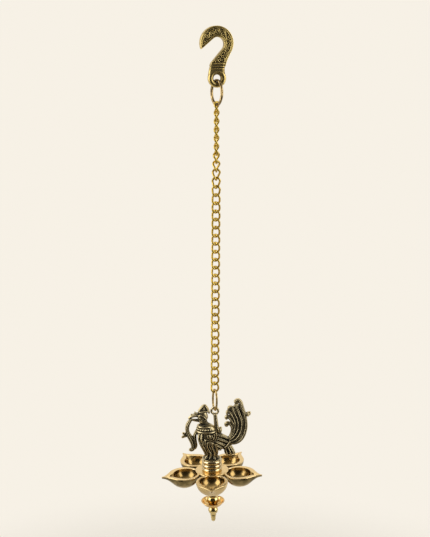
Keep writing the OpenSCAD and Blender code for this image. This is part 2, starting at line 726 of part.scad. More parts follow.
// Ball, waist and blunt point on the rod's end
module finial() {
    color("#c49a45")
        lamp_place()
            difference() {
                union() {
                    translate([0, 0, finial_ball_z])
                        sphere(finial_radius);
                    translate([0, 0, finial_ball_z])
                        cylinder(r = 3.3, h = pan_low_z - finial_ball_z);
                    translate([0, 0, finial_ball_z - finial_radius - 1.2])
                        cylinder(r1 = 2.7, r2 = 2.9, h = 2.4);
                    translate([0, 0, finial_low_z + 1.5])
                        cylinder(r1 = 2, r2 = 2.6, h = finial_point);
                    translate([0, 0, finial_low_z + 2.1])
                        sphere(2.1);
                }
                translate([0, 0, finial_ball_z - 0.3])
                    cylinder(d = rod_diameter + 2 * bore_gap, h = 30);
            }
}

hook();
upper_ring();
for (i = [1 : link_count]) chain_link(i);
lower_ring();
hanging_stem();
bird_figure();
tie_rod();
ribbed_collar();
lamp_dish();
baluster();
drip_pan();
finial();
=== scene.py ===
import json
import math

import bpy
import numpy as np
from mathutils import Matrix, Vector, kdtree

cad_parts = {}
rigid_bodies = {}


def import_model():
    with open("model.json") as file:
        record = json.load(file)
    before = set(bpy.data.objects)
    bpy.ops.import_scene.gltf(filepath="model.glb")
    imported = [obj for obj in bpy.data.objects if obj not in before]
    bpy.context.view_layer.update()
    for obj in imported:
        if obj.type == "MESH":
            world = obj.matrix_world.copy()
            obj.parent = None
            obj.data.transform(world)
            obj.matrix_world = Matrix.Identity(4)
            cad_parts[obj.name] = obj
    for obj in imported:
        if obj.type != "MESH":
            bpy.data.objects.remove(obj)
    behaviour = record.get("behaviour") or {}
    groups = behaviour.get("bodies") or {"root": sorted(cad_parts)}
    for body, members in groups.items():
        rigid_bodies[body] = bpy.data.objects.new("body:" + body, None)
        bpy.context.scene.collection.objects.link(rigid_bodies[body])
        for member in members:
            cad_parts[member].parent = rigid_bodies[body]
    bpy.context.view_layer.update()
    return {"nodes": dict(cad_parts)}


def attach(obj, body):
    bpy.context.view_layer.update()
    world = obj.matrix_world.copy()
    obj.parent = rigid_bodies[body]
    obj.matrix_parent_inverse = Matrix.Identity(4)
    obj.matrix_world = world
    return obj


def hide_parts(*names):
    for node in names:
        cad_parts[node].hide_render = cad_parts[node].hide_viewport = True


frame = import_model()

# Hook. One brass casting: a crescent with a sunk, scrolled front, three bands on its neck and a
# round end with an eye. It is pickled dark after casting and its raised parts are rubbed bright.

METRES, MOST_FACES = Matrix.Scale(0.001, 4), 95000
HOOK_FIELD, HOOK_HALF = 2.0, 2.95
CRESCENT_CENTRE, CRESCENT_RADIUS, BOW_RADIUS = (-0.6, 0.9), 15, 6.1
TIP_ANGLE, CRESCENT_END, BOW_END = 130.7, -28, -40
NECK_TOP, NECK_LOW, BAND_HEIGHTS = -15.6, -19.6, (-16.9, -19.05, -21.2)
BAND_WIRE, BAND_INSET, BITE_RADIUS = 0.6, 0.7, 5.4
FILL_TOP, BORDER_LOW = -17, -15.9
EYE_DROP, EYE_RADIUS, BULB_RADIUS, BULB_HALF = 29.5, 3.2, 8.2, 2.9


def pick(*objs):
    bpy.ops.object.select_all(action="DESELECT")
    for obj in objs:
        obj.select_set(True)
    bpy.context.view_layer.objects.active = objs[0]


def placed(name, data):
    obj = bpy.data.objects.new(name, data)
    bpy.context.collection.objects.link(obj)
    return obj


def built(name, points, edges, faces):
    mesh = bpy.data.meshes.new(name)
    mesh.from_pydata(points, edges, faces)
    return placed(name, mesh)


def open_mesh(obj):
    """Opens an object's whole mesh for editing."""
    pick(obj)
    bpy.ops.object.mode_set(mode="EDIT")
    bpy.ops.mesh.select_all(action="SELECT")


def close_mesh(weld=0):
    """Welds points that lie together, turns the faces outwards and ends the editing."""
    bpy.ops.mesh.select_all(action="SELECT")
    if weld:
        bpy.ops.mesh.remove_doubles(threshold=weld)
    bpy.ops.mesh.normals_make_consistent(inside=False)
    bpy.ops.object.mode_set(mode="OBJECT")


def mark_points(obj, label, values):
    layer = obj.data.attributes.new(label, "FLOAT", "POINT")
    layer.data.foreach_set("value", np.array(values, np.float32))


def drawn(name, points, radius, closed=False, round_steps=3):
    """Round wire along points (x, y, z and, where given, a share of the radius), made a mesh."""
    curve = bpy.data.curves.new(name, "CURVE")
    curve.dimensions = "3D"
    curve.bevel_depth = radius
    curve.bevel_resolution = round_steps
    curve.use_fill_caps = True
    spline = curve.splines.new("POLY")
    spline.points.add(len(points) - 1)
    for knot, p in zip(spline.points, points):
        knot.co = (p[0], p[1], p[2], 1)
        knot.radius = p[3] if len(p) > 3 else 1
    spline.use_cyclic_u = closed
    pick(placed(name, curve))
    bpy.ops.object.convert(target="MESH")
    return bpy.context.object


def ball(name, at, size, squeeze=(1, 1, 1)):
    bpy.ops.object.select_all(action="DESELECT")
    bpy.ops.mesh.primitive_uv_sphere_add(segments=20, ring_count=12, radius=size, location=at)
    obj = bpy.context.object
    obj.name = name
    bpy.ops.transform.resize(value=squeeze)
    bpy.ops.object.transform_apply(location=True, rotation=True, scale=True)
    return obj


def joined(name, pieces):
    pick(*pieces)
    if len(pieces) > 1:
        bpy.ops.object.join()
    obj = bpy.context.object
    obj.name = obj.data.name = name
    return obj


def cast_in_one(obj, grain, soften):
    """Melts overlapping solids into one skin, as a mould does, and softens its corners."""
    pick(obj)
    skin = obj.modifiers.new("skin", "REMESH")
    skin.mode = "VOXEL"
    skin.voxel_size = grain
    bpy.ops.object.modifier_apply(modifier=skin.name)
    worn = obj.modifiers.new("worn", "SMOOTH")
    worn.factor = 0.5
    worn.iterations = soften
    bpy.ops.object.modifier_apply(modifier=worn.name)
    if len(obj.data.polygons) > MOST_FACES:
        lighter = obj.modifiers.new("lighter", "DECIMATE")
        lighter.ratio = MOST_FACES / len(obj.data.polygons)
        bpy.ops.object.modifier_apply(modifier=lighter.name)
    # Loose specks are taken off: all that isn't linked to the topmost point
    bpy.ops.object.mode_set(mode="EDIT")
    bpy.ops.mesh.select_mode(type="VERT")
    bpy.ops.mesh.select_all(action="DESELECT")
    bpy.ops.object.mode_set(mode="OBJECT")
    max(obj.data.vertices, key=lambda v: v.co.z).select = True
    bpy.ops.object.mode_set(mode="EDIT")
    bpy.ops.mesh.select_linked()
    bpy.ops.mesh.select_all(action="INVERT")
    bpy.ops.mesh.delete(type="VERT")
    bpy.ops.object.mode_set(mode="OBJECT")
    bpy.ops.object.shade_smooth()


def mark_rubbed(obj, reach, contrast):
    """Stores how far each point stands out of its surroundings: 0 in a hollow, 1 on a ridge."""
    mesh = obj.data
    count = len(mesh.vertices)
    place, outward = np.empty(count * 3), np.empty(count * 3)
    mesh.vertices.foreach_get("co", place)
    mesh.vertices.foreach_get("normal", outward)
    place, outward = place.reshape(-1, 3), outward.reshape(-1, 3)
    ends = np.empty(len(mesh.edges) * 2, dtype=np.int64)
    mesh.edges.foreach_get("vertices", ends)
    ends = ends.reshape(-1, 2)
    both = np.concatenate([ends, ends[:, ::-1]])
    share = np.maximum(np.bincount(both[:, 0], minlength=count), 1)[:, None]
    even = place.copy()
    stand = np.zeros(count)
    for step in range(1, reach[-1] + 1):
        pulled = [np.bincount(both[:, 0], even[both[:, 1], k], count) for k in range(3)]
        even = even * 0.3 + np.stack(pulled, 1) / share * 0.7
        if step in reach:
            part = ((place - even) * outward).sum(1)
            stand += part / np.percentile(np.abs(part), 80)
    rubbed = 0.5 + 0.5 * np.tanh(stand * contrast / len(reach))
    mark_points(obj, "rubbed", rubbed)


def leaned(start, lean, end, first, last, steps):
    """Part of the quadratic curve from start to end that leans on a third point."""
    return [start * (1 - t) ** 2 + lean * 2 * t * (1 - t) + end * t * t
            for t in np.linspace(first, last, steps)]


def hook_edges(inset):
    """Outer and inner edge of the hook, from its tip to the round end, inset from the outline."""
    across, up = CRESCENT_CENTRE
    outer_r, bow, bulb = CRESCENT_RADIUS - inset, BOW_RADIUS + inset, BULB_RADIUS - inset
    a = math.radians(TIP_ANGLE)
    seat = Vector((bow * math.cos(a), bow * math.sin(a)))
    run = Vector((-math.sin(a), math.cos(a)))
    away = seat - Vector(CRESCENT_CENTRE)
    b = away.dot(run)
    tip = seat + run * (math.sqrt(b * b - away.dot(away) + outer_r ** 2) - b)
    first = math.atan2(tip.y - up, tip.x - across) % math.tau
    outer = [Vector((across + outer_r * math.cos(t), up + outer_r * math.sin(t)))
             for t in np.linspace(first, math.radians(CRESCENT_END), 80)]
    waist = Vector((7 - inset, -21))
    outer += leaned(outer[-1], Vector((7.6 - inset, -15)), waist, 0.05, 1, 20)
    outer += leaned(waist, Vector((7 - inset, -25)), Vector((bulb, -EYE_DROP)), 0.1, 1, 10)
    inner = [tip.lerp(seat, t) for t in np.linspace(0, 0.9, 8)]
    inner += [Vector((bow * math.cos(t), bow * math.sin(t)))
              for t in np.linspace(a, math.radians(BOW_END), 50)]
    throat, neck = inner[-1], Vector((-5.6 + inset, -16.2))
    inner += [throat.lerp(neck, t) for t in np.linspace(0.08, 1, 12)]
    inner += leaned(neck, Vector((-8 + inset, -23)), Vector((-bulb, -EYE_DROP)), 0.1, 1, 10)
    return outer, inner


def plate(name, outline, front, back):
    """Flat plate in the XZ plane, pushed out from front to back."""
    obj = built(name, [(x, front, z) for x, z in outline], [], [tuple(range(len(outline)))])
    open_mesh(obj)
    bpy.ops.mesh.extrude_region_move(TRANSFORM_OT_translate={"value": (0, back - front, 0)})
    close_mesh()
    return obj


def turned(name, profile, steps=96):
    """Lathe work: a profile of (radius, height) rows spun about the Z axis."""
    obj = built(name, [(r, 0, z) for r, z in profile], [(i, i + 1) for i in range(len(profile) - 1)], [])
    open_mesh(obj)
    bpy.ops.mesh.spin(steps=steps, angle=math.tau, center=(0, 0, 0), axis=(0, 0, 1))
    close_mesh(0.0005)
    return obj


def along(path, t):
    """Point at share t of a path's length."""
    steps = [0]
    for p, q in zip(path, path[1:]):
        steps.append(steps[-1] + (q - p).length)
    target = min(max(t, 0), 1) * steps[-1]
    for i in range(len(path) - 1):
        if steps[i + 1] >= target:
            return path[i].lerp(path[i + 1], (target - steps[i]) / max(steps[i + 1] - steps[i], 1e-9))
    return path[-1]


# Plate at the depth of the sunk field and the thicker neck with its three bands
outer, inner = hook_edges(0.05)
shank = [p for p in outer if p.y > NECK_LOW] + [p for p in inner if p.y > NECK_LOW][::-1]
hook_parts = [plate("hook_plate", shank, -HOOK_FIELD, HOOK_HALF)]
neck = [p for p in outer if NECK_LOW < p.y < NECK_TOP]
neck += [p for p in inner if NECK_LOW < p.y < NECK_TOP][::-1]
hook_parts.append(plate("hook_neck", neck, -HOOK_HALF, HOOK_HALF))
for z in BAND_HEIGHTS:
    left = min(inner, key=lambda p: abs(p.y - z)).x
    right = min((p for p in outer if p.x > 0), key=lambda p: abs(p.y - z)).x
    for face in (-1, 1):
        bar = []
        for t in np.linspace(0, 1, 16):
            over_edge = abs(2 * t - 1) ** 6
            bar.append((left + BAND_INSET + (right - left - 2 * BAND_INSET) * t,
                        face * (2.85 - 0.9 * over_edge), z + 0.3 * math.sin(math.pi * t) - 0.2))
        hook_parts.append(drawn("neck_band", bar, BAND_WIRE))

# Below the bands the neck rounds over at its edges and runs into the round end with its eye
bite = [Vector((BITE_RADIUS * math.cos(t), BITE_RADIUS * math.sin(t) - EYE_DROP))
        for t in np.linspace(0, math.pi, 24)]
for inset, half in ((0.08, 0.9), (0.2, 1.3), (0.35, 1.62), (0.55, 1.9), (0.8, 2.14), (1.1, 2.36),
                    (1.5, 2.58), (2.0, 2.8)):
    outer, inner = hook_edges(inset)
    fill = [p for p in outer if p.y < FILL_TOP] + bite + [p for p in inner if p.y < FILL_TOP][::-1]
    hook_parts.append(plate("neck_fill", fill, -half, half))
lip, edge_round = 3.0, 2.0
inner_mid, outer_mid = EYE_RADIUS + lip, BULB_RADIUS - edge_round
flat = math.asin(BULB_HALF / lip)
profile = [(outer_mid + edge_round * math.cos(t),
            edge_round * math.sin(t) + (BULB_HALF - edge_round) * np.sign(t))
           for t in np.linspace(-math.pi / 2, math.pi / 2, 24)]
profile += [(inner_mid - lip * math.cos(t), lip * math.sin(t)) for t in np.linspace(flat, -flat, 22)]
bulb = turned("hook_round_end", profile + profile[:1], 72)
bulb.data.transform(Matrix.Translation((0, 0, -EYE_DROP)) @ Matrix.Rotation(math.pi / 2, 4, "X"))
hook_parts.append(bulb)

# Rolled edge and, inside it, a second raised line
for inset, height, size in ((0.55, 2.4, 0.55), (1.8, 2.38, 0.44)):
    outer, inner = hook_edges(inset)
    edge = [p for p in inner if p.y > BORDER_LOW][::-1] + [p for p in outer if p.y > BORDER_LOW]
    hook_parts.append(drawn("hook_border", [(p.x, -height, p.y) for p in edge], size))

# Scroll in the field: a wavy stem with a curl in each bend and seeds along the border
SCROLL_BENDS, SCROLL_Y, CURL_TURNS, SEED_SIZE = 10, -HOOK_FIELD - 0.15, 1.4, 0.42
outer, inner = hook_edges(2.3)
outer, inner = [p for p in outer if p.y > NECK_TOP], [p for p in inner if p.y > NECK_TOP]
stem_line = []
for t in np.linspace(0.07, 0.985, 160):
    o, i = along(outer, t), along(inner, t)
    mid = (o + i) / 2 + (o - i) / 2 * 0.66 * math.sin(math.pi * SCROLL_BENDS * t)
    stem_line.append((mid.x, SCROLL_Y, mid.y, 0.75 + 0.25 * math.sin(math.pi * t)))
hook_parts.append(drawn("scroll_stem", stem_line, 0.38))
for k in range(SCROLL_BENDS):
    t = (k + 0.5) / SCROLL_BENDS
    o, i = along(outer, t), along(inner, t)
    half = (o - i).length / 2
    side = 1 if k % 2 == 0 else -1
    way = (o - i).normalized() * side
    if half > 0.9:
        heart = (o + i) / 2 - way * half * 0.2
        curl = []
        for turn in np.linspace(0, CURL_TURNS, 30):
            r = half * (0.86 - 0.64 * turn / CURL_TURNS)
            angle = math.atan2(way.y, way.x) - side * math.tau * turn
            curl.append((heart.x + r * math.cos(angle), SCROLL_Y, heart.y + r * math.sin(angle),
                         1 - 0.2 * turn))
        hook_parts.append(drawn("scroll_curl", curl, 0.34))
        hook_parts.append(ball("scroll_eye", curl[-1][:3], SEED_SIZE))
    o, i = along(outer, t + 0.5 / SCROLL_BENDS), along(inner, t + 0.5 / SCROLL_BENDS)
    for back in (-1, 1):
        seed = (o + i) / 2 + (o - i) / 2 * 0.86 * back
        hook_parts.append(ball("scroll_seed", (seed.x, -HOOK_FIELD, seed.y), SEED_SIZE, (1, 0.9, 1)))

hook = joined("hook_casting", hook_parts)
cast_in_one(hook, 0.16, 5)
mark_rubbed(hook, (5, 16, 50), 1.4)
hook.data.transform(METRES)


def node_group(name, inputs, outputs):
    tree = bpy.data.node_groups.new(name, "ShaderNodeTree")
    for label, kind, value in inputs:
        socket = tree.interface.new_socket(label, in_out="INPUT", socket_type="NodeSocket" + kind)
        socket.default_value = value
    for label, kind in outputs:
        tree.interface.new_socket(label, in_out="OUTPUT", socket_type="NodeSocket" + kind)
    return tree, tree.nodes.new("NodeGroupInput"), tree.nodes.new("NodeGroupOutput")


def feed(tree, value, socket):
    """Sets a socket to a number or a colour, or links it to another node's output."""
    if isinstance(value, (int, float)):
        socket.default_value = value
    elif isinstance(value, tuple):
        socket.default_value = (*value, 1)
    else:
        tree.links.new(value, socket)


def stored(tree, label):
    """Value that the points of a mesh carry under a label."""
    mark = tree.nodes.new("ShaderNodeAttribute")
    mark.attribute_name = label
    return mark.outputs["Fac"]


def noise(tree, scale, detail, rough=0.55):
    """Cloudy noise on Object coordinates; scale is a number or a socket."""
    coords = tree.nodes.new("ShaderNodeTexCoord")
    tex = tree.nodes.new("ShaderNodeTexNoise")
    tex.inputs["Detail"].default_value = detail
    tex.inputs["Roughness"].default_value = rough
    tree.links.new(coords.outputs["Object"], tex.inputs["Vector"])
    feed(tree, scale, tex.inputs["Scale"])
    return tex.outputs["Fac"]


def sums(tree, operation, a, b):
    node = tree.nodes.new("ShaderNodeMath")
    node.operation = operation
    for socket, value in zip(node.inputs, (a, b)):
        feed(tree, value, socket)
    return node.outputs[0]


def sway(tree, value, share):
    """Noise about zero, times a share."""
    return sums(tree, "MULTIPLY", sums(tree, "SUBTRACT", value, 0.5), share)


def fade(tree, value, low, high, to_low=0.0, to_high=1.0):
    node = tree.nodes.new("ShaderNodeMapRange")
    node.interpolation_type = "SMOOTHSTEP"
    tree.links.new(value, node.inputs["Value"])
    for label, number in (("From Min", low), ("From Max", high), ("To Min", to_low), ("To Max", to_high)):
        feed(tree, number, node.inputs[label])
    return node.outputs["Result"]


def mixed(tree, share, a, b):
    """Mix of two colours, by the Mix node's sockets for the share and the colours."""
    node = tree.nodes.new("ShaderNodeMix")
    node.data_type = "RGBA"
    for k, value in ((0, share), (6, a), (7, b)):
        feed(tree, value, node.inputs[k])
    return node.outputs[2]


# Dark patina that stays in hollows and is rubbed off on ridges
patina, inside, outside = node_group("rubbed_patina", [
    ("Rubbed", "Float", 0.5), ("Ridge", "Color", (0.7, 0.55, 0.3, 1)),
    ("Flat", "Color", (0.3, 0.23, 0.11, 1)), ("Hollow", "Color", (0.03, 0.025, 0.015, 1)),
    ("Cover", "Float", 0.5), ("Smoothest", "Float", 0.27), ("Roughest", "Float", 0.6)],
    [("Colour", "Color"), ("Roughness", "Float"), ("Metallic", "Float"), ("Height", "Float")])
grit = noise(patina, 1300, 4)
cloud = noise(patina, 170, 3)
worn = sums(patina, "ADD", inside.outputs["Rubbed"], sway(patina, grit, 0.1))
worn = sums(patina, "ADD", worn, sway(patina, cloud, 0.3))
worn = sums(patina, "SUBTRACT", worn, inside.outputs["Cover"])
low_tone = mixed(patina, fade(patina, worn, -0.32, 0.06),
                 inside.outputs["Hollow"], inside.outputs["Flat"])
tone = mixed(patina, fade(patina, worn, 0.02, 0.36), low_tone, inside.outputs["Ridge"])
patina.links.new(tone, outside.inputs["Colour"])
shine = fade(patina, worn, -0.3, 0.4, inside.outputs["Roughest"], inside.outputs["Smoothest"])
patina.links.new(shine, outside.inputs["Roughness"])
patina.links.new(fade(patina, worn, -0.3, 0.1, 0.65, 1.0), outside.inputs["Metallic"])
patina.links.new(grit, outside.inputs["Height"])

# Cloudy tone and fine grain of bare metal that has been handled
bloom, inside, outside = node_group("handled_metal", [
    ("Clean", "Color", (0.8, 0.6, 0.25, 1)), ("Dull", "Color", (0.5, 0.35, 0.13, 1)),
    ("Size", "Float", 90.0), ("Dull Share", "Float", 0.5),
    ("Smoothest", "Float", 0.14), ("Roughest", "Float", 0.34)],
    [("Colour", "Color"), ("Roughness", "Float"), ("Height", "Float")])
cloud = noise(bloom, inside.outputs["Size"], 5, 0.62)
grit = noise(bloom, 2400, 3)
dulled = fade(bloom, sums(bloom, "ADD", cloud, sway(bloom, grit, 0.2)), 0.36, 0.66)
dulled = sums(bloom, "MULTIPLY", dulled, inside.outputs["Dull Share"])
bloom.links.new(mixed(bloom, dulled, inside.outputs["Clean"], inside.outputs["Dull"]),
                outside.inputs["Colour"])
bloom.links.new(fade(bloom, dulled, 0.0, 1.0, inside.outputs["Smoothest"], inside.outputs["Roughest"]),
                outside.inputs["Roughness"])
bloom.links.new(grit, outside.inputs["Height"])


def finish(name, group, values, dent):
    """Metal finish from one of the groups, with the group's height as a shallow bump."""
    material = bpy.data.materials.new(name)
    material.use_nodes = True
    tree = material.node_tree
    shader = tree.nodes["Principled BSDF"]
    shader.inputs["Metallic"].default_value = 1.0
    block = tree.nodes.new("ShaderNodeGroup")
    block.node_tree = group
    for label, value in values.items():
        block.inputs[label].default_value = value if isinstance(value, float) else (*value, 1)
    tree.links.new(block.outputs["Colour"], shader.inputs["Base Color"])
    tree.links.new(block.outputs["Roughness"], shader.inputs["Roughness"])
    if "Metallic" in block.outputs:
        tree.links.new(block.outputs["Metallic"], shader.inputs["Metallic"])
    if "Rubbed" in block.inputs:
        tree.links.new(stored(tree, "rubbed"), block.inputs["Rubbed"])
    bump = tree.nodes.new("ShaderNodeBump")
    bump.inputs["Strength"].default_value = dent
    bump.inputs["Distance"].default_value = 0.0002
    tree.links.new(block.outputs["Height"], bump.inputs["Height"])
    tree.links.new(bump.outputs["Normal"], shader.inputs["Normal"])
    return material


def settle(obj, material, body, slot, *replaced):
    obj.data.materials.clear()
    obj.data.materials.append(material)
    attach(obj, body)
    if replaced:
        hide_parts(*replaced)


hook_brass = finish("hook_antique_brass", patina, {
    "Ridge": (0.78, 0.6, 0.22), "Flat": (0.27, 0.2, 0.072), "Hollow": (0.032, 0.024, 0.009),
    "Cover": 0.48}, 0.2)
settle(hook, hook_brass, "hook", "antique_brass", "hook")

# Upper ring. An oval of 2.6 mm brass wire, bent round a former and sawn off where its ends meet.
# It hangs in the hook's eye and has browned.

RING_WIRE, RING_LENGTH, RING_WIDTH, RING_TURN = 2.6, 24, 18, -68
RING_TOP, SAW_CUT, CREASE = -31.25, 0.03, math.radians(40)


def oval(length, width, wire, steps=26):
    """Centre line of an oval ring in the XZ plane, from one side of its saw cut to the other."""
    a, b = (length - wire) / 2, (width - wire) / 2
    end = b * 0.75
    side = ((a - end) ** 2 + b * b - end * end) / (2 * (b - end))
    turn = math.atan2(a - end, side - b)
    half_cut = SAW_CUT / side
    line = []
    for cx, cz, r, first, last in (
            (b - side, 0, side, half_cut, turn), (0, a - end, end, turn, math.pi - turn),
            (side - b, 0, side, math.pi - turn, math.pi + turn),
            (0, end - a, end, math.pi + turn, math.tau - turn), (b - side, 0, side, -turn, -half_cut)):
        line += [(cx + r * math.cos(t), 0, cz + r * math.sin(t))
                 for t in np.linspace(first, last, steps)[:-1]]
    line.append((b - side + side * math.cos(half_cut), 0, -side * math.sin(half_cut)))
    return [(-x, y, z) for x, y, z in line]


def hang(obj, height, turn):
    """Brings a piece that is drawn about its own middle to its place on the hanging line."""
    obj.data.transform(METRES @ Matrix.Translation((0, 0, height))
                       @ Matrix.Rotation(math.radians(turn), 4, "Z"))


def wire_ring(name, length, width, wire, top, turn):
    obj = drawn(name, oval(length, width, wire), wire / 2, round_steps=7)
    hang(obj, top - (length - wire) / 2, turn)
    bpy.ops.object.shade_smooth_by_angle(angle=CREASE)
    return obj


upper_ring = wire_ring("upper_ring_wire", RING_LENGTH, RING_WIDTH, RING_WIRE, RING_TOP, RING_TURN)
ring_brass = finish("browned_ring_brass", bloom, {
    "Clean": (0.6, 0.44, 0.2), "Dull": (0.12, 0.08, 0.035), "Size": 170.0, "Dull Share": 1.0,
    "Smoothest": 0.2, "Roughest": 0.42}, 0.3)
settle(upper_ring, ring_brass, "upper_ring", "ring_brass", "upper_ring")

# Chain. 36 curb links of 1.9 mm bright brass wire. Each link is a loop twisted out of its flat,
# hooked through the one above and closed, with its ends butted in one leg.

LINK_WIRE, LINK_WIDTH, LINK_LENGTH, LINK_PITCH, LINK_TWIST = 1.9, 8.4, 9.55, 7.5, 46
LINK_COUNT, LINK_FIRST_TOP = 36, -50.25
CHAIN_TURN, FIRST_HEADING, TURN_AFTER, TURN_LINKS = -18, 68, 6, 6


def rounded(before, corner, after, reach, steps):
    """Arc that rounds a corner of bent wire."""
    u, v = (before - corner).normalized(), (after - corner).normalized()
    turn = math.pi - u.angle(v)
    r = reach / math.tan(turn / 2)
    centre = corner + (u + v).normalized() * r / math.cos(turn / 2)
    x = (corner + u * reach - centre).normalized()
    y = x.cross(corner + v * reach - centre).normalized().cross(x)
    return [centre + x * r * math.cos(t) + y * r * math.sin(t) for t in np.linspace(0, turn, steps)]


half_w, half_l = (LINK_WIDTH - LINK_WIRE) / 2, LINK_LENGTH / 2
out = half_w * math.tan(math.radians(LINK_TWIST))
reach = math.hypot(half_w, out)
corners = [Vector((half_w, out, -half_l)), Vector((-half_w, -out, -half_l)),
           Vector((-half_w, out, half_l)), Vector((half_w, -out, half_l))]
butt = (corners[0] - corners[3]).normalized() * SAW_CUT
path = [(corners[0] + corners[3]) / 2 + butt]
for k in range(4):
    arc = rounded(corners[k - 1], corners[k], corners[(k + 1) % 4], reach, 15)
    path += arc[1:] if k in (1, 3) else arc
path.append((corners[0] + corners[3]) / 2 - butt)
link_pattern = drawn("chain_link_pattern", path, LINK_WIRE / 2, round_steps=5)
bpy.ops.object.shade_smooth_by_angle(angle=CREASE)
chain_brass = finish("bright_chain_brass", bloom, {
    "Clean": (0.7, 0.5, 0.11), "Dull": (0.38, 0.26, 0.035), "Size": 260.0, "Dull Share": 0.75,
    "Smoothest": 0.16, "Roughest": 0.36}, 0.18)
for n in range(1, LINK_COUNT + 1):
    turned_links = min(max(n - TURN_AFTER, 0), TURN_LINKS)
    heading = FIRST_HEADING + (CHAIN_TURN - FIRST_HEADING) * turned_links / TURN_LINKS
    link = placed("curb_link_%02d" % n, link_pattern.data.copy())
    link.data.name = link.name
    hang(link, LINK_FIRST_TOP - (n - 1) * LINK_PITCH - half_l, heading)
    settle(link, chain_brass, "link_%02d" % n, "chain_brass", "chain_link_%02d" % n)
bpy.data.objects.remove(link_pattern)

# Lower ring. A slimmer oval of 2 mm brass wire that joins the last link to the lamp's hanging eye.
# It is bent and sawn like the upper one, and less brown.

LOW_RING_WIRE, LOW_RING_LENGTH, LOW_RING_WIDTH, LOW_RING_TURN = 2, 22, 11, -80
LOW_RING_TOP = -320.2

lower_ring = wire_ring("lower_ring_wire", LOW_RING_LENGTH, LOW_RING_WIDTH, LOW_RING_WIRE,
                       LOW_RING_TOP, LOW_RING_TURN)
low_ring_brass = finish("lower_ring_brass", bloom, {
    "Clean": (0.78, 0.58, 0.25), "Dull": (0.3, 0.2, 0.075), "Size": 200.0, "Dull Share": 0.9,
    "Smoothest": 0.18, "Roughest": 0.4}, 0.25)
settle(lower_ring, low_ring_brass, "lower_ring", "ring_brass", "lower_ring")

# Hanging stem. A cast eye on a tapered stem, screwed into the bird's back, with the same dark
# patina as the bird.

EYE_HEIGHT, LAMP_SHIFT, LAMP_EYE = 59.8, -4.2, -341.15
LAMP_TURN, LAMP_LEAN, STEM_LEAN = -14, -1.8, -4
LAMP_FRAME = (METRES @ Matrix.Translation((0, 0, LAMP_EYE))
              @ Matrix.Rotation(math.radians(LAMP_TURN), 4, "Z")
              @ Matrix.Rotation(math.radians(LAMP_LEAN), 4, "Y")
              @ Matrix.Translation((LAMP_SHIFT, 0, -EYE_HEIGHT)))
STEM_FRAME = (LAMP_FRAME @ Matrix.Translation((-LAMP_SHIFT, 0, EYE_HEIGHT))
              @ Matrix.Rotation(math.radians(STEM_LEAN), 4, "Y"))

bpy.ops.object.select_all(action="DESELECT")
bpy.ops.mesh.primitive_torus_add(major_radius=3.25, minor_radius=1.15, major_segments=48,
                                 minor_segments=20, rotation=(math.pi / 2, 0, 0))
bpy.ops.object.transform_apply(location=True, rotation=True, scale=True)
stem_eye = bpy.context.object
stem = joined("hanging_stem_casting", [stem_eye, turned("stem", [
    (0, -3.1), (1.7, -3.1), (1.9, -4.2), (1.92, -8), (2.0, -9), (2.12, -12),
    (2.3, -18.5), (1.5, -18.6), (1.5, -28.4), (0, -28.5)], 40)])
cast_in_one(stem, 0.2, 3)
mark_rubbed(stem, (6, 24, 60), 0.8)
stem.data.transform(STEM_FRAME)
stem_brass = finish("stem_antique_brass", patina, {
    "Ridge": (0.6, 0.5, 0.3), "Flat": (0.27, 0.22, 0.12), "Hollow": (0.04, 0.033, 0.02),
    "Cover": 0.42}, 0.35)
settle(stem, stem_brass, "lamp", "antique_brass", "hanging_stem")

# Bird figure. One casting: a crested bird with a vine in its beak, banded breast, folded wings,
# wavy skirt feathers, a strap at the tail's root, a fan below it and a tall plume of curled
# feathers. Its hollows are black with patina and its ridges rubbed to pale brass.

COLLAR_HEIGHT, BIRD_LEAN = 11.4, 2.4
BIRD_EYE_X, BIRD_EYE_Z, EYELID_RADIUS, BREAST_RADIUS, BAND_STEPS = -11.8, 42.2, 1.75, 7, 72
BIRD_FRAME = (LAMP_FRAME @ Matrix.Translation((0, 0, COLLAR_HEIGHT))
              @ Matrix.Rotation(math.radians(BIRD_LEAN), 4, "Y"))


def through(rows, steps):
    """Smooth curve through every row."""
    rows = [np.array(r, float) for r in rows]
    last = len(rows) - 1
    line = []
    for i in range(last):
        a, b, c, d = rows[max(i - 1, 0)], rows[i], rows[i + 1], rows[min(i + 2, last)]
        for t in np.arange(steps) / steps:
            line.append(b + (c - a) * t / 2 + (2 * a - 5 * b + 4 * c - d) * t * t / 2
                        + (3 * b - a - 3 * c + d) * t ** 3 / 2)
    return line + [rows[-1]]


def skin_faces(rows, around):
    """Faces over rows of points, so many around, with a cap on both ends."""
    faces = []
    for i in range(rows - 1):
        for k in range(around):
            n = (k + 1) % around
            faces.append((i * around + k, i * around + n, (i + 1) * around + n, (i + 1) * around + k))
    faces.append(tuple(range(around - 1, -1, -1)))
    faces.append(tuple((rows - 1) * around + k for k in range(around)))
    return faces


def feather(rows, ridges=1, depth=0.16, steps=6, sides=36):
    """Cast feather or vine along rows of x, z, half width, half thickness and, where it isn't in
    the middle, distance to the side. Ridges run along it where there is more than one."""
    line = through([[*r, 0][:5] for r in rows], steps)
    points = []
    for i, p in enumerate(line):
        q, r = line[max(i - 1, 0)], line[min(i + 1, len(line) - 1)]
        heading = np.array([r[0] - q[0], r[1] - q[1]])
        heading /= np.linalg.norm(heading)
        for k in range(sides):
            a = math.tau * k / sides
            u, v = math.cos(a), math.sin(a)
            if ridges > 1:
                v *= 1 + depth * math.cos(math.pi * ridges * u)
            points.append((p[0] - p[2] * u * heading[1], p[4] + p[3] * v, p[1] + p[2] * u * heading[0]))
    return built("feather", points, [], skin_faces(len(line), sides))


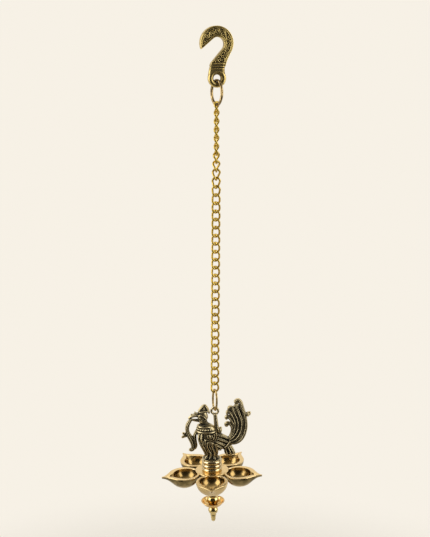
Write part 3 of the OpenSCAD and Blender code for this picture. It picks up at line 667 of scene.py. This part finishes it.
def bud(a, ra, b, rb):
    """Seed-shaped bud from one ball to another."""
    steps = 8
    swell = [(-0.12, 0.55)] + [(k / steps, 1) for k in range(steps + 1)] + [(1.1, 0.8), (1.17, 0.4)]
    return drawn("bud", [(a[0] + (b[0] - a[0]) * t, 0, a[1] + (b[1] - a[1]) * t, (ra + (rb - ra) * t) * s)
                         for t, s in swell], 1)


cast = []
# Head, open beak with its comb, and the crest
cast.append(feather([
    [-6, 32, 5.4, 5], [-7.6, 36, 3.4, 3.4], [-9, 39, 4.4, 4.2], [-9.2, 42.6, 5.2, 4.8],
    [-9, 47, 3.8, 3.4]]))
cast.append(feather([
    [-11.5, 44, 3, 2.8], [-15.5, 44, 2.2, 2.1], [-19, 42.8, 1.7, 1.6], [-22, 41, 1.1, 1.1],
    [-22.8, 39.6, 0.5, 0.5]], 2, 0.12))
cast.append(feather([
    [-11, 38.6, 2, 2.2], [-14.6, 38.5, 1.5, 1.7], [-18, 38.9, 1.2, 1.5], [-21.6, 39.6, 0.9, 1.1]]))
cast.append(bud((-15.6, 44.6), 1.4, (-17, 47), 0.7))
cast.append(bud((-18.8, 43.4), 1.2, (-20.4, 44.8), 0.6))
cast.append(feather([
    [-13.2, 47.2, 1.3, 1.6], [-10.6, 51.4, 1.4, 1.6], [-7.6, 53.6, 1.4, 1.4], [-5.4, 51.2, 1.4, 1.6],
    [-3.9, 48, 1.3, 1.6], [-3, 45.6, 0.8, 0.9]], 2, 0.2))
cast.append(feather([[-8.6, 46.5, 3.6, 2.2], [-8.2, 50, 2.4, 1.8], [-7.7, 53.4, 0.9, 0.9]], 3, 0.22))
cast.append(feather([[-13, 47.2, 1, 2.6], [-8.5, 48.2, 1.1, 3.5], [-4.5, 48.2, 1, 2.2]], 2, 0.12))
for side in (-1, 1):
    eyelid = [(BIRD_EYE_X + EYELID_RADIUS * math.cos(t), side * 4.3,
               BIRD_EYE_Z + EYELID_RADIUS * math.sin(t))
              for t in np.linspace(0, math.tau, 28, endpoint=False)]
    cast.append(drawn("eyelid", eyelid, 0.42, closed=True))
    cast.append(ball("eyeball", (BIRD_EYE_X, side * 4.0, BIRD_EYE_Z), 1.15))
    cast.append(feather([
        [-13.6, 44.4, 0.4, 0.5, side * 3.4], [-10.8, 45, 0.55, 0.6, side * 4.2],
        [-7.4, 43.4, 0.55, 0.6, side * 4.6], [-5.4, 40.6, 0.4, 0.5, side * 4]]))
    cast.append(feather([
        [-10.4, 39.6, 0.5, 0.6, side * 4.2], [-7.6, 39.8, 0.5, 0.6, side * 4.4],
        [-5, 41.6, 0.4, 0.5, side * 3.6]]))

# Vine from the beak to the breast, with its leaf tips
cast.append(feather([
    [-19.6, 39.8, 1.3, 1.4], [-21.6, 37.4, 1.8, 1.9], [-23.4, 33.8, 2.1, 2.1], [-24, 29, 2, 2],
    [-22.8, 24.6, 2.1, 2], [-20.8, 20.8, 2.7, 2.1], [-19, 17, 2.6, 2], [-18, 13.4, 2.4, 2],
    [-18, 10.2, 2.2, 1.9], [-19.6, 8.4, 1.9, 1.7], [-22, 8.8, 1.2, 1.2]], 3, 0.2))
cast.append(feather([
    [-13.6, 29.4, 1.6, 2.2], [-16, 25.6, 1.5, 1.8], [-16.7, 21, 1.9, 1.7], [-15.9, 16.6, 1.6, 1.7],
    [-15.5, 12.8, 1.7, 1.7], [-16.8, 9.6, 1.6, 1.5]], 2, 0.2))
cast.append(bud((-23.6, 23.6), 1.2, (-28, 25.2), 1.3))
cast.append(bud((-23.4, 22.8), 1.1, (-28.6, 21.2), 1.3))
cast.append(bud((-24, 23.2), 1.2, (-27.2, 23.2), 1.4))

# Body, foot and the banded breast
cast.append(feather([
    [-7.6, 35.6, 3.4, 3.4], [-6.6, 31.8, 7.8, 6.2], [-5.2, 27, 9.4, 7.2], [-4, 21.5, 8.8, 7],
    [-2.2, 15.5, 7, 6], [-0.6, 9.5, 5.4, 5], [0.2, 4, 4.6, 4.4], [0, 0.3, 5.4, 5]]))
cast.append(turned("foot", [(0, 0.1), (9.2, 0.1), (9.2, 0.5), (7.6, 0.9), (6, 1.4), (0, 1.6)], 48))
for i in range(3):
    wide, deep = BREAST_RADIUS * (0.98 + 0.18 * i), BREAST_RADIUS * (0.78 + 0.11 * i)
    ring = [(-7 + 0.7 * i + wide * math.cos(t), deep * math.sin(t), 33.2 - 2.4 * i)
            for t in np.linspace(0, math.tau, BAND_STEPS, endpoint=False)]
    cast.append(drawn("breast_band", ring, 0.95 if i != 1 else 0.7, closed=True))
    if i == 1:
        cast += [ball("breast_bead", ring[k], 1.05) for k in range(0, BAND_STEPS, 3)]
cast.append(feather([
    [-10, 26.4, 2.4, 3.6], [-11.8, 21.6, 1.8, 2.8], [-11, 17, 1.8, 2.4], [-9.4, 12.6, 1.8, 2.2],
    [-7.2, 8.6, 1.4, 1.8], [-5, 5, 1, 1.2]], 2, 0.2))
for side in (-1, 1):
    # Folded wing: arcs one inside the other round a small leaf
    for r in (2.2, 4.3, 6.3):
        cast.append(feather([[-2 + r * math.cos(t), 25 + r * math.sin(t), 0.72, 1.5,
                              side * (6.6 - 0.06 * r * r * abs(math.cos(t)))]
                             for t in np.radians(np.arange(150, 391, 20))], 1, steps=3, sides=16))
    cast.append(feather([
        [-2.8, 26.8, 0.5, 1.2, side * 6.7], [-2, 25, 1, 1.4, side * 6.9],
        [-1.4, 23, 0.4, 1.0, side * 6.7]], steps=4, sides=16))
    # Wavy feathers of the breast and the skirt
    for rows in (
            [[-12.2, 26.6, 1.2, 1.4, 3.4], [-12.6, 22, 1.3, 1.5, 4], [-11, 16.6, 1.3, 1.5, 4],
             [-8.6, 11.6, 1.2, 1.4, 3.6], [-6.4, 6.6, 1.1, 1.2, 2.8], [-5.4, 1.4, 0.9, 1, 2.8]],
            [[-9.4, 26.8, 1.2, 1.4, 5.6], [-9.9, 22.6, 1.3, 1.5, 6], [-9.2, 18.6, 1.3, 1.4, 5.4]],
            [[-6, 21.6, 1.2, 1.4, 6.4], [-6.4, 17.4, 1.3, 1.4, 5.8], [-5, 12.4, 1.2, 1.4, 4.9],
             [-3, 8, 1.1, 1.3, 4.2]],
            [[-1.8, 18.4, 1.1, 1.3, 6.2], [-2, 14.4, 1.2, 1.3, 5.6], [-0.4, 9.8, 1.1, 1.2, 4.8]],
            [[-8, 20, 1.5, 1.7, 5.2], [-8.4, 15.5, 1.5, 1.6, 4.9], [-6.4, 11, 1.5, 1.5, 4.3],
             [-4.4, 7, 1.4, 1.4, 3.6], [-4, 1, 1.2, 1.2, 3.6]],
            [[-4, 18.6, 1.6, 1.7, 6], [-4.2, 14, 1.6, 1.6, 5.4], [-2.4, 9.6, 1.5, 1.5, 4.6],
             [-0.8, 5.4, 1.4, 1.4, 4.1], [-1.4, 0.6, 1.3, 1.3, 4.3]],
            [[0.4, 18.4, 1.6, 1.7, 5.8], [0.2, 14.2, 1.6, 1.6, 5.2], [1.8, 10, 1.5, 1.5, 4.5],
             [2.6, 5.6, 1.4, 1.4, 3.9], [1.8, 0.6, 1.3, 1.3, 4.2]],
            [[4, 17, 1.5, 1.6, 5], [3.8, 13, 1.5, 1.5, 4.6], [5, 9, 1.4, 1.4, 3.4],
             [4.6, 5, 1.3, 1.3, 2.8], [4.6, 0.6, 1.2, 1.2, 2.6]]):
        cast.append(feather([[*p[:4], side * p[4]] for p in rows], 2, 0.22))
    # Small leaves that turn outwards at the foot
    for x in (-5.4, -1.4, 2.6):
        cast.append(feather([
            [x * 0.8, 4.4, 0.9, 1.0, side * 4], [x, 2, 1.2, 1.0, side * 4.8],
            [x * 1.25, 0.7, 0.9, 0.6, side * 6.2]], steps=4, sides=16))
cast.append(bud((6.6, 24.6), 2.2, (7.2, 29.8), 2.5))
cast.append(bud((7.2, 29.8), 2.3, (8.6, 32), 1.1))

# Side feathers to the tail's root, on a thin web
for rows in (
        [[1, 25.2, 2, 3.6], [6, 24.4, 1.8, 3.2], [10.5, 23.2, 1.6, 2.6], [15.5, 21, 1.3, 2]],
        [[1, 22.6, 2, 3.8], [6, 20.8, 1.9, 3.4], [11, 18.8, 1.7, 2.8], [15.4, 17.2, 1.4, 2.4]],
        [[1, 19.6, 2, 3.8], [5.6, 17.2, 1.9, 3.4], [10, 15, 1.7, 2.8], [14, 13.6, 1.4, 2.4]],
        [[1, 16, 1.9, 3.6], [5.2, 13.6, 1.7, 2.8], [8.8, 11.6, 1.5, 2.2], [11.8, 10.4, 1, 1.6]],
        [[1.5, 12.4, 1.7, 3], [4.8, 10.4, 1.5, 2.4], [7.6, 9.2, 1.1, 1.8], [9.2, 8.8, 0.8, 1]]):
    cast.append(feather(rows, 3, 0.14))
for line in ([(0, 24), (14, 22), (17, 18), (14, 12), (9, 9.6), (2, 9)],
             [(17, 18), (24, 19), (29, 26), (30.5, 34), (29, 44), (26.5, 52), (24, 57),
              (21, 55), (18, 51), (16, 46), (16, 41), (19, 36), (19.5, 30), (18, 24)]):
    cast.append(plate("web", line, -1.3, 1.3))
# Strap and lower fan
cast.append(feather([[12.2, 11.6, 1.1, 2.8], [14.6, 14.4, 1.2, 3.3], [17.6, 18.4, 1.1, 3.1]]))
for rows in (
        [[13.6, 12.8, 1.8, 2.4], [13.6, 8.6, 2, 2.3], [14.6, 5.6, 1.9, 2.1], [16, 3.4, 1, 1.1]],
        [[15.4, 13.2, 1.8, 2.5], [17.2, 8.8, 2.1, 2.4], [18.2, 5.8, 1.9, 2.1], [19.2, 3.6, 1, 1.1]],
        [[17, 14, 1.7, 2.4], [19.2, 10, 1.9, 2.3], [20.9, 6.8, 1.7, 2], [22.2, 4.8, 0.9, 1]]):
    cast.append(feather(rows, 2, 0.2))
# Plume, from its outer feather to its inner one, with a bud on its edge and seeds in its curls
for rows in (
        [[16.5, 17, 2.2, 2.6], [21.5, 16.8, 2.2, 2.8], [26.5, 19.4, 2.3, 2.8], [30, 24.8, 2.3, 2.8],
         [31.7, 32, 2.2, 2.7], [31.5, 39, 2.1, 2.6], [30.2, 46, 2, 2.5], [28, 52.4, 2, 2.4],
         [26.8, 57.2, 1.9, 2.3], [24.2, 59.8, 1.8, 2.1], [21.4, 58.4, 1.4, 1.7], [22.4, 56, 1, 1.2]],
        [[16.8, 18.2, 2.1, 2.6], [22.4, 20.6, 2.3, 3], [26.4, 26.4, 2.3, 3], [28, 33, 2.3, 3],
         [27.7, 39.6, 2.3, 2.9], [25.2, 46, 2.1, 2.7], [23.2, 51.6, 2, 2.5], [22.4, 55.8, 1.8, 2.2]],
        [[16.6, 19.6, 2, 2.5], [21, 23.8, 2.2, 2.9], [24.2, 29.6, 2.2, 2.9], [24.8, 35.6, 2.2, 2.9],
         [23.6, 41.6, 2.1, 2.8], [21, 47.2, 2, 2.6], [18.4, 52, 1.8, 2.2], [15.8, 52.2, 1.5, 1.8],
         [15.2, 50, 1.1, 1.3]],
        [[20.8, 29, 2, 2.6], [22, 35, 2, 2.7], [20.6, 41, 2, 2.6], [17.8, 46, 1.8, 2.3],
         [15, 48.4, 1.5, 1.9], [13.8, 46.6, 1.3, 1.6], [15, 45.2, 1, 1.1]],
        [[17.6, 21.6, 1.9, 2.4], [20.6, 26.4, 2, 2.6], [21.6, 32, 2, 2.6], [19.8, 37.4, 1.9, 2.5],
         [16.6, 41.6, 1.7, 2.2], [14, 43.4, 1.5, 1.8], [12.8, 41.6, 1.3, 1.5], [14.2, 40.2, 1, 1.1]],
        [[17, 21.4, 1.8, 2.2], [18.9, 25.8, 1.9, 2.3], [19.6, 30.4, 1.9, 2.3], [18.2, 34.4, 1.8, 2.1],
         [15.2, 36.6, 1.6, 1.9], [12.8, 35.8, 1.4, 1.6], [13.2, 33.6, 1.2, 1.3], [15, 33.8, 1, 1]]):
    cast.append(feather(rows, 3, 0.15))
cast.append(bud((30.8, 45.4), 1.5, (34.4, 45.8), 2.6))
cast.append(bud((34.4, 45.8), 2.3, (35.8, 48), 1.3))
for x, z, size in ((14.2, 34.8, 1.8), (14, 42, 1.7), (15, 47.2, 1.7), (16.8, 51, 1.6), (23.2, 57.6, 1.8)):
    cast.append(ball("seed", (x, 0, z), size))

bird = joined("bird_casting", cast)
cast_in_one(bird, 0.3, 2)
mark_rubbed(bird, (3, 12, 40), 1.4)
bird.data.transform(BIRD_FRAME)
bird_brass = finish("bird_antique_brass", patina, {
    "Ridge": (0.63, 0.53, 0.31), "Flat": (0.17, 0.14, 0.075), "Hollow": (0.011, 0.010, 0.006),
    "Cover": 0.56}, 0.25)
settle(bird, bird_brass, "lamp", "antique_brass", "bird_figure")

# Ribbed collar. Three stacked round ribs, turned in one piece of brass, between bird and dish.
# Polish takes the ribs and leaves the grooves dark.

COLLAR_LOW, COLLAR_RADIUS, RIB_COUNT, BORE = -0.4, 9.8, 3, 2.1
rib = (COLLAR_HEIGHT - COLLAR_LOW) / (2 * RIB_COUNT)
profile = [(BORE, COLLAR_LOW), (COLLAR_RADIUS - rib, COLLAR_LOW)]
for i in range(RIB_COUNT):
    mid = COLLAR_LOW + rib * (2 * i + 1)
    profile += [(COLLAR_RADIUS - rib + rib * math.cos(t), mid + rib * math.sin(t))
                for t in np.radians(np.linspace(-78, 78, 18))]
profile += [(COLLAR_RADIUS - rib, COLLAR_HEIGHT), (BORE, COLLAR_HEIGHT), (BORE, COLLAR_LOW)]
collar = turned("ribbed_collar_turning", profile)
bpy.ops.object.shade_smooth_by_angle(angle=math.radians(50))
mark_rubbed(collar, (2, 6, 12), 0.8)
collar.data.transform(LAMP_FRAME)
collar_brass = finish("collar_brass", patina, {
    "Ridge": (0.64, 0.53, 0.32), "Flat": (0.32, 0.255, 0.14), "Hollow": (0.02, 0.016, 0.008),
    "Cover": 0.44, "Smoothest": 0.13, "Roughest": 0.5}, 0.06)
settle(collar, collar_brass, "lamp", "cast_brass", "ribbed_collar")

# Tie rod. Plain brass rod that runs inside the stack and holds bird, collar, dish, baluster, pan
# and finial together. It is the CAD solid with a drawn metal finish.

rod_brass = finish("tie_rod_brass", bloom, {
    "Clean": (0.7, 0.52, 0.24), "Dull": (0.4, 0.28, 0.12), "Size": 300.0, "Dull Share": 0.7,
    "Smoothest": 0.25, "Roughest": 0.45}, 0.2)
rod = frame["nodes"]["tie_rod"]
rod.data.materials.clear()
rod.data.materials.append(rod_brass)

# Lamp dish. One casting: a hub with five pointed bowls. The flat top is filed to a satin, the round
# hollows for oil are polished and tinted brown as painted shade, and a shallow channel leads each wick to
# its spout. Below the rim the outside is painted dark as a painted dark reflection, least on the front
# bowl.

BOWL_OFFSET, BOWL_RADIUS, BOWL_RIM, BOWL_DEPTH, SPOUT_REACH = 28, 15, 3.3, 13, 50
CUP_OFFSET, CUP_RADIUS, CUP_DEPTH, SPOUT_ANGLE = 26.6, 11.7, 11, 58
# Painted dark reflection on the dish's outer walls: its share by depth below the rim, in mm
TARNISHED = ((0.3, 1.4, 6.5, 11.5), (0, 1, 0.9, 0))
BOWL_COUNT, BOWL_SIDES, DISH_MARKS = 5, 28, ("hollow", "rim", "tarnish")


def bowl_rows(middle, radius, tip, depth, tip_width, tip_depth):
    """Cross sections of a pointed bowl from its inner end to its spout: distance, half width, depth."""
    rows = [(middle + radius * math.cos(t), radius * math.sin(t))
            for t in np.radians(np.linspace(172, SPOUT_ANGLE, 40))]
    last = np.array(rows[-1])
    gap = tip - last[0]
    turn = math.radians(SPOUT_ANGLE)
    ease = last + np.array([math.sin(turn), -math.cos(turn)]) * gap * 0.4
    waist = np.array([tip - gap * 0.42, tip_width + last[1] * 0.1])
    point = np.array([tip, tip_width])
    for t in np.linspace(0, 1, 26)[1:]:
        s = 1 - t
        rows.append(tuple(last * s ** 3 + ease * 3 * s * s * t + waist * 3 * s * t * t + point * t ** 3))
    done = []
    for x, w in rows:
        u, v = (middle - x) / radius, w / radius
        d = depth * math.sqrt(1 - u * u) if u > 0 else tip_depth + (depth - tip_depth) * v ** 1.2
        done.append((x, w, d))
    return done


hollow_rows = bowl_rows(CUP_OFFSET, CUP_RADIUS, SPOUT_REACH - BOWL_RIM * 1.5, CUP_DEPTH, 0.3, 0.6)
hollow_x = [r[0] for r in hollow_rows]
hollow_w = [r[1] for r in hollow_rows]


def hollow_depth(x, y, w):
    """Depth of the hollow: a round cup, and past it a shallow channel towards the spout."""
    cup = CUP_DEPTH * math.sqrt(max(0, 1 - ((x - CUP_OFFSET) ** 2 + y * y) / CUP_RADIUS ** 2))
    channel = 0.0
    if x > CUP_OFFSET + 4 and w > 0:
        fall = min(1, max(0, (hollow_x[-1] - x) / 9))
        channel = (0.6 + 2.8 * fall) * max(0, 1 - (abs(y) / w) ** 1.7)
    return max(cup, channel)


# One bowl, section by section. Each point has y, z and its three marks.
points, point_marks = [], []
rows = bowl_rows(BOWL_OFFSET, BOWL_RADIUS, SPOUT_REACH, BOWL_DEPTH, 0.6, 1.4)
rows += [(SPOUT_REACH + 0.12, 0.45, 1.1), (SPOUT_REACH + 0.2, 0.2, 0.7)]
for x, w, d in rows:
    wi = float(np.interp(x, hollow_x, hollow_w)) if hollow_x[0] < x < hollow_x[-1] else 0.0
    wi = max(min(wi, w - 0.5), 0.0)
    soft = min(0.45, (w - wi) * 0.3)
    section = []
    for t in np.linspace(math.pi, math.tau, BOWL_SIDES + 1):
        z = d * math.sin(t) - soft * 0.6
        # The outer wall takes the painted dark reflection by its depth below the rim
        section.append((w * math.cos(t), z, 0, 0, np.interp(-z, *TARNISHED)))
    section += [(w - soft * 0.3, -soft * 0.2, 0, 0.6, 0), (w - soft, 0, 0, 1, 0),
                (wi + soft * 0.8, 0, 0, 1, 0)]
    for y in np.sin(np.linspace(math.pi / 2, -math.pi / 2, BOWL_SIDES + 1)) * wi:
        h = hollow_depth(x, y, wi) if wi > 0.05 else 0
        section.append((y, min(-soft * 0.35, -h) if wi > 0.05 else 0, 1 if h > 0.3 else 0,
                        0 if h > 0.3 else 0.6, 0))
    section += [(-wi - soft * 0.8, 0, 0, 1, 0), (-w + soft, 0, 0, 1, 0),
                (-w + soft * 0.3, -soft * 0.2, 0, 0.6, 0)]
    for y, z, *mark in section:
        points.append((x, y, z))
        point_marks.append(mark)
bowl_pattern = built("bowl_pattern", points, [], skin_faces(len(rows), len(section)))
for label, values in zip(DISH_MARKS, zip(*point_marks)):
    mark_points(bowl_pattern, label, values)
open_mesh(bowl_pattern)
close_mesh(0.002)
bowls = []
for i in range(BOWL_COUNT):
    bowls.append(placed("bowl", bowl_pattern.data.copy()))
    bowls[i].data.transform(Matrix.Rotation(math.radians(-90 + 360 / BOWL_COUNT * i), 4, "Z"))
bpy.data.objects.remove(bowl_pattern)
# The front bowl keeps only a fifth of the painted dark reflection and stays bright
for spot in bowls[0].data.attributes["tarnish"].data:
    spot.value *= 0.2
hub = turned("hub", [(BORE, -0.1), (9.6, -0.1), (15.6, -0.1), (16, -0.5), (16, -2.5), (13.6, -6.4),
                     (11.6, -8.6), (9, -10.6), (6.8, -12.2), (6.2, -12.5), (BORE, -12.5), (BORE, -0.1)])
# The hub's top takes the satin rim mark and its underside the painted dark reflection at 0.8
for label, on_top, below in zip(DISH_MARKS, (0, 1, 0), (0, 0, 0.8)):
    mark_points(hub, label, [on_top if v.co.z > -0.6 else below for v in hub.data.vertices])

# The hub and bowls are welded into one skin, whose points take the marks of the nearest old points
spots, marks = [], []
for piece in [hub] + bowls:
    layers = [piece.data.attributes[label].data for label in DISH_MARKS]
    for v in piece.data.vertices:
        spots.append(v.co.copy())
        marks.append([layer[v.index].value for layer in layers])
near = kdtree.KDTree(len(spots))
for i, spot in enumerate(spots):
    near.insert(spot, i)
near.balance()
dish = joined("lamp_dish_casting", [hub])
for bowl in bowls:
    pick(dish)
    weld = dish.modifiers.new("weld", "BOOLEAN")
    weld.operation = "UNION"
    weld.solver = "EXACT"
    weld.object = bowl
    bpy.ops.object.modifier_apply(modifier=weld.name)
    bpy.data.objects.remove(bowl)
nearest = [near.find(v.co)[1] for v in dish.data.vertices]
for k, label in enumerate(DISH_MARKS):
    dish.data.attributes[label].data.foreach_set("value", [marks[i][k] for i in nearest])
pick(dish)
bpy.ops.object.shade_smooth_by_angle(angle=math.radians(38))
dish.data.transform(LAMP_FRAME)

dish_brass = finish("dish_polished_brass", bloom, {
    "Clean": (0.78, 0.59, 0.29), "Dull": (0.62, 0.44, 0.19), "Size": 70.0, "Dull Share": 0.6,
    "Smoothest": 0.12, "Roughest": 0.24}, 0.05)
tree = dish_brass.node_tree
shader = tree.nodes["Principled BSDF"]
metal = shader.inputs["Base Color"].links[0].from_socket
shine = shader.inputs["Roughness"].links[0].from_socket
hollow, rim, tarnish = [stored(tree, label) for label in DISH_MARKS]
# Oil hollows: the polished metal's colour is darkened to brown as painted shade
tone = mixed(tree, sums(tree, "MULTIPLY", hollow, 0.85), metal, (0.31, 0.2, 0.065))
tone = mixed(tree, sums(tree, "MULTIPLY", rim, 0.75), tone, (0.9, 0.68, 0.34))
# Painted dark reflection: a dark olive brown laid over the outer walls below the rim, broken up by noise
dark = sums(tree, "MULTIPLY", tarnish, fade(tree, noise(tree, 160, 4), 0.25, 0.6, 0.55, 0.9))
tone = mixed(tree, dark, tone, (0.07, 0.058, 0.022))
tree.links.new(tone, shader.inputs["Base Color"])
satin = sums(tree, "ADD", sums(tree, "MULTIPLY", rim, 0.16), sums(tree, "MULTIPLY", hollow, 0.05))
tree.links.new(sums(tree, "ADD", shine, satin), shader.inputs["Roughness"])
settle(dish, dish_brass, "lamp", "polished_brass", "lamp_dish")

# Baluster. A flared foot under the hub, a slim neck and a ball that sits in the pan, turned in
# one piece and polished.

HUB_LOW, PAN_FLOOR, KNOP_Z, KNOP_RADIUS, BALUSTER_NECK = -12.5, -36.5, -31.5, 5.8, 3.4


def softened(profile, steps=4):
    """Profile with its corners drawn into a smooth curve."""
    return [tuple(p) for p in through(profile, steps)]


ball_low = math.asin((PAN_FLOOR - KNOP_Z) / KNOP_RADIUS)
ball_high = math.acos(BALUSTER_NECK / KNOP_RADIUS)
profile = [(BORE, PAN_FLOOR)]
profile += [(KNOP_RADIUS * math.cos(t), KNOP_Z + KNOP_RADIUS * math.sin(t))
            for t in np.linspace(ball_low, ball_high, 30)]
profile += softened([(BALUSTER_NECK, -26.7), (3.5, -25.6), (3.35, -22), (3.2, -19.6), (3.5, -18.4),
                     (4.3, -16.2), (4.8, -15.3)], 5)
profile += [(4.9, -15.0), (4.75, -14.8)]
profile += softened([(4.8, -14.7), (5.3, -13.9), (6.1, -12.9), (6.3, -12.6)])
profile += [(6.2, HUB_LOW), (BORE, HUB_LOW), (BORE, PAN_FLOOR)]
baluster = turned("baluster_turning", profile)
bpy.ops.object.shade_smooth_by_angle(angle=CREASE)
baluster.data.transform(LAMP_FRAME)
turned_brass = finish("turned_polished_brass", bloom, {
    "Clean": (0.74, 0.58, 0.26), "Dull": (0.44, 0.33, 0.12), "Size": 110.0, "Dull Share": 0.7,
    "Smoothest": 0.06, "Roughest": 0.13}, 0.03)
settle(baluster, turned_brass, "lamp", "polished_brass", "baluster")

# Drip pan. A thin brass saucer with a rolled rim under the ball, to catch spilt oil. It is turned,
# polished and held on the tie rod between baluster and finial.

PAN_RIM, PAN_LOW = -31.9, -37.8
inside_line = softened([(5.6, PAN_FLOOR), (7.6, PAN_FLOOR + 0.7), (8.9, PAN_FLOOR + 1.9),
                        (10, PAN_RIM - 0.9), (10.9, PAN_RIM - 0.45)], 5)
outside_line = softened([(10.9, PAN_RIM - 1.5), (10, PAN_RIM - 2.2), (8.8, -35.9), (7.4, -37),
                         (5.3, -37.75)], 5)
lip = [(11.0 + 0.4 * math.cos(t), PAN_RIM - 0.85 + 0.42 * math.sin(t))
       for t in np.radians(np.linspace(80, -80, 9))]
profile = [(BORE, PAN_FLOOR)] + inside_line + lip + outside_line + [(BORE, PAN_LOW), (BORE, PAN_FLOOR)]
pan = turned("drip_pan_turning", profile)
bpy.ops.object.shade_smooth_by_angle(angle=math.radians(50))
pan.data.transform(LAMP_FRAME)
pan_brass = finish("drip_pan_brass", bloom, {
    "Clean": (0.82, 0.56, 0.22), "Dull": (0.62, 0.36, 0.11), "Size": 120.0, "Dull Share": 0.7,
    "Smoothest": 0.14, "Roughest": 0.28}, 0.06)
settle(pan, pan_brass, "lamp", "polished_brass", "drip_pan")

# Finial. A brass ball with a waist and a blunt point, turned in one piece and polished. It is screwed
# on the rod's end and closes the stack.

BALL_Z, BALL_RADIUS, FINIAL_LOW, POINT_RADIUS = -42.3, 4.8, -54.4, 2.1
profile = [(BORE, PAN_LOW), (3.3, PAN_LOW), (3.3, -38.6)]
profile += [(BALL_RADIUS * math.cos(t), BALL_Z + BALL_RADIUS * math.sin(t))
            for t in np.linspace(math.acos(3.35 / BALL_RADIUS), -math.acos(3.0 / BALL_RADIUS), 28)]
profile += softened([(2.95, -46.2), (2.8, -46.6), (2.75, -47.3), (2.85, -47.9)])
profile += [(2.7, -48.25), (2.5, -48.35)]
profile += softened([(2.5, -48.6), (2.35, -50), (2.12, -52)])
profile += [(POINT_RADIUS * math.cos(t), FINIAL_LOW + POINT_RADIUS + POINT_RADIUS * math.sin(t))
            for t in np.radians(np.linspace(-4, -90, 14))]
profile += [(0, FINIAL_LOW)]
finial = turned("finial_turning", [(0, BALL_Z - 0.3), (BORE, BALL_Z - 0.3)] + profile)
bpy.ops.object.shade_smooth_by_angle(angle=CREASE)
finial.data.transform(LAMP_FRAME)
settle(finial, turned_brass, "lamp", "polished_brass", "finial")

# Studio. A pale floor well below the hanging lamp, soft boxes at both sides and above, and the
# camera at the photograph's angle.

FLOOR_RADIUS, FLOOR_Z = 0.7, -0.72
bpy.ops.object.select_all(action="DESELECT")
bpy.ops.mesh.primitive_circle_add(vertices=96, radius=FLOOR_RADIUS, fill_type="NGON",
                                  location=(0, 0, FLOOR_Z))
bpy.ops.object.transform_apply(location=True, rotation=True, scale=True)
floor = bpy.context.object
floor.name = "studio_floor"
paper = bpy.data.materials.new("floor_paper")
paper.use_nodes = True
tree = paper.node_tree
shader = tree.nodes["Principled BSDF"]
shader.inputs["Roughness"].default_value = 0.9
tree.links.new(mixed(tree, noise(tree, 3, 3), (0.9, 0.86, 0.78), (0.93, 0.89, 0.82)),
               shader.inputs["Base Color"])
where = tree.nodes.new("ShaderNodeTexCoord")
far = tree.nodes.new("ShaderNodeVectorMath")
far.operation = "LENGTH"
level = tree.nodes.new("ShaderNodeVectorMath")
level.operation = "MULTIPLY"
level.inputs[1].default_value = (1, 1, 0)
tree.links.new(where.outputs["Object"], level.inputs[0])
tree.links.new(level.outputs["Vector"], far.inputs[0])
tree.links.new(fade(tree, far.outputs["Value"], 0.2, 0.65, 1.0, 0.0), shader.inputs["Alpha"])
floor.data.materials.append(paper)


def softbox(name, at, to, wide, high, watts, tint):
    lamp = bpy.data.lights.new(name, "AREA")
    lamp.shape = "RECTANGLE"
    lamp.size, lamp.size_y, lamp.energy, lamp.color = wide, high, watts, tint
    obj = placed(name, lamp)
    obj.location = at
    obj.rotation_euler = (Vector(to) - Vector(at)).to_track_quat("-Z", "Y").to_euler()


softbox("left_softbox", (-1.29, -0.18, 0.1), (0, 0, -0.25), 1.0, 1.5, 12, (1, 0.98, 0.94))
softbox("right_softbox", (1.05, -0.76, 0.1), (0, 0, -0.25), 1.0, 1.5, 12, (1, 0.97, 0.92))
softbox("top_softbox", (0.0, 0.5, 1.1), (0, 0, -0.2), 1.2, 1.2, 2.5, (1, 0.98, 0.95))

world = bpy.data.worlds.new("studio_world")
bpy.context.scene.world = world
world.use_nodes = True
tree = world.node_tree
sky = tree.nodes["Background"]
seen = tree.nodes.new("ShaderNodeLightPath")
where = tree.nodes.new("ShaderNodeTexCoord")
split = tree.nodes.new("ShaderNodeSeparateXYZ")
tree.links.new(where.outputs["Generated"], split.inputs[0])
front = fade(tree, split.outputs["Y"], -0.75, 0.35, 0.015, 0.95)
room = mixed(tree, front, (0.02, 0.018, 0.015), (0.95, 0.89, 0.8))
tone = mixed(tree, seen.outputs["Is Glossy Ray"], (0.3, 0.29, 0.27), room)
tone = mixed(tree, seen.outputs["Is Camera Ray"], tone, (0.93, 0.88, 0.79))
tree.links.new(tone, sky.inputs["Color"])

FOCAL_PIXELS, PHOTO_PIXELS, SENSOR = 1000, 537, 36
AWAY, ASIDE, LEVEL, ROUND, LOOK_DOWN, ROLL = 0.9, 0.0006, 0.0024, -14, 12.8, 0.35
camera = placed("camera", bpy.data.cameras.new("camera"))
camera.data.lens = FOCAL_PIXELS / PHOTO_PIXELS * SENSOR
camera.data.sensor_width = SENSOR
heading = math.radians(ROUND)
camera.location = (AWAY * math.sin(heading) - ASIDE * math.cos(heading),
                   -AWAY * math.cos(heading) - ASIDE * math.sin(heading), LEVEL)
camera.rotation_euler = (math.radians(90 - LOOK_DOWN), 0, heading)
camera.rotation_euler.rotate_axis("Z", math.radians(ROLL))
bpy.context.scene.camera = camera
bpy.context.scene.view_settings.view_transform = "Standard"
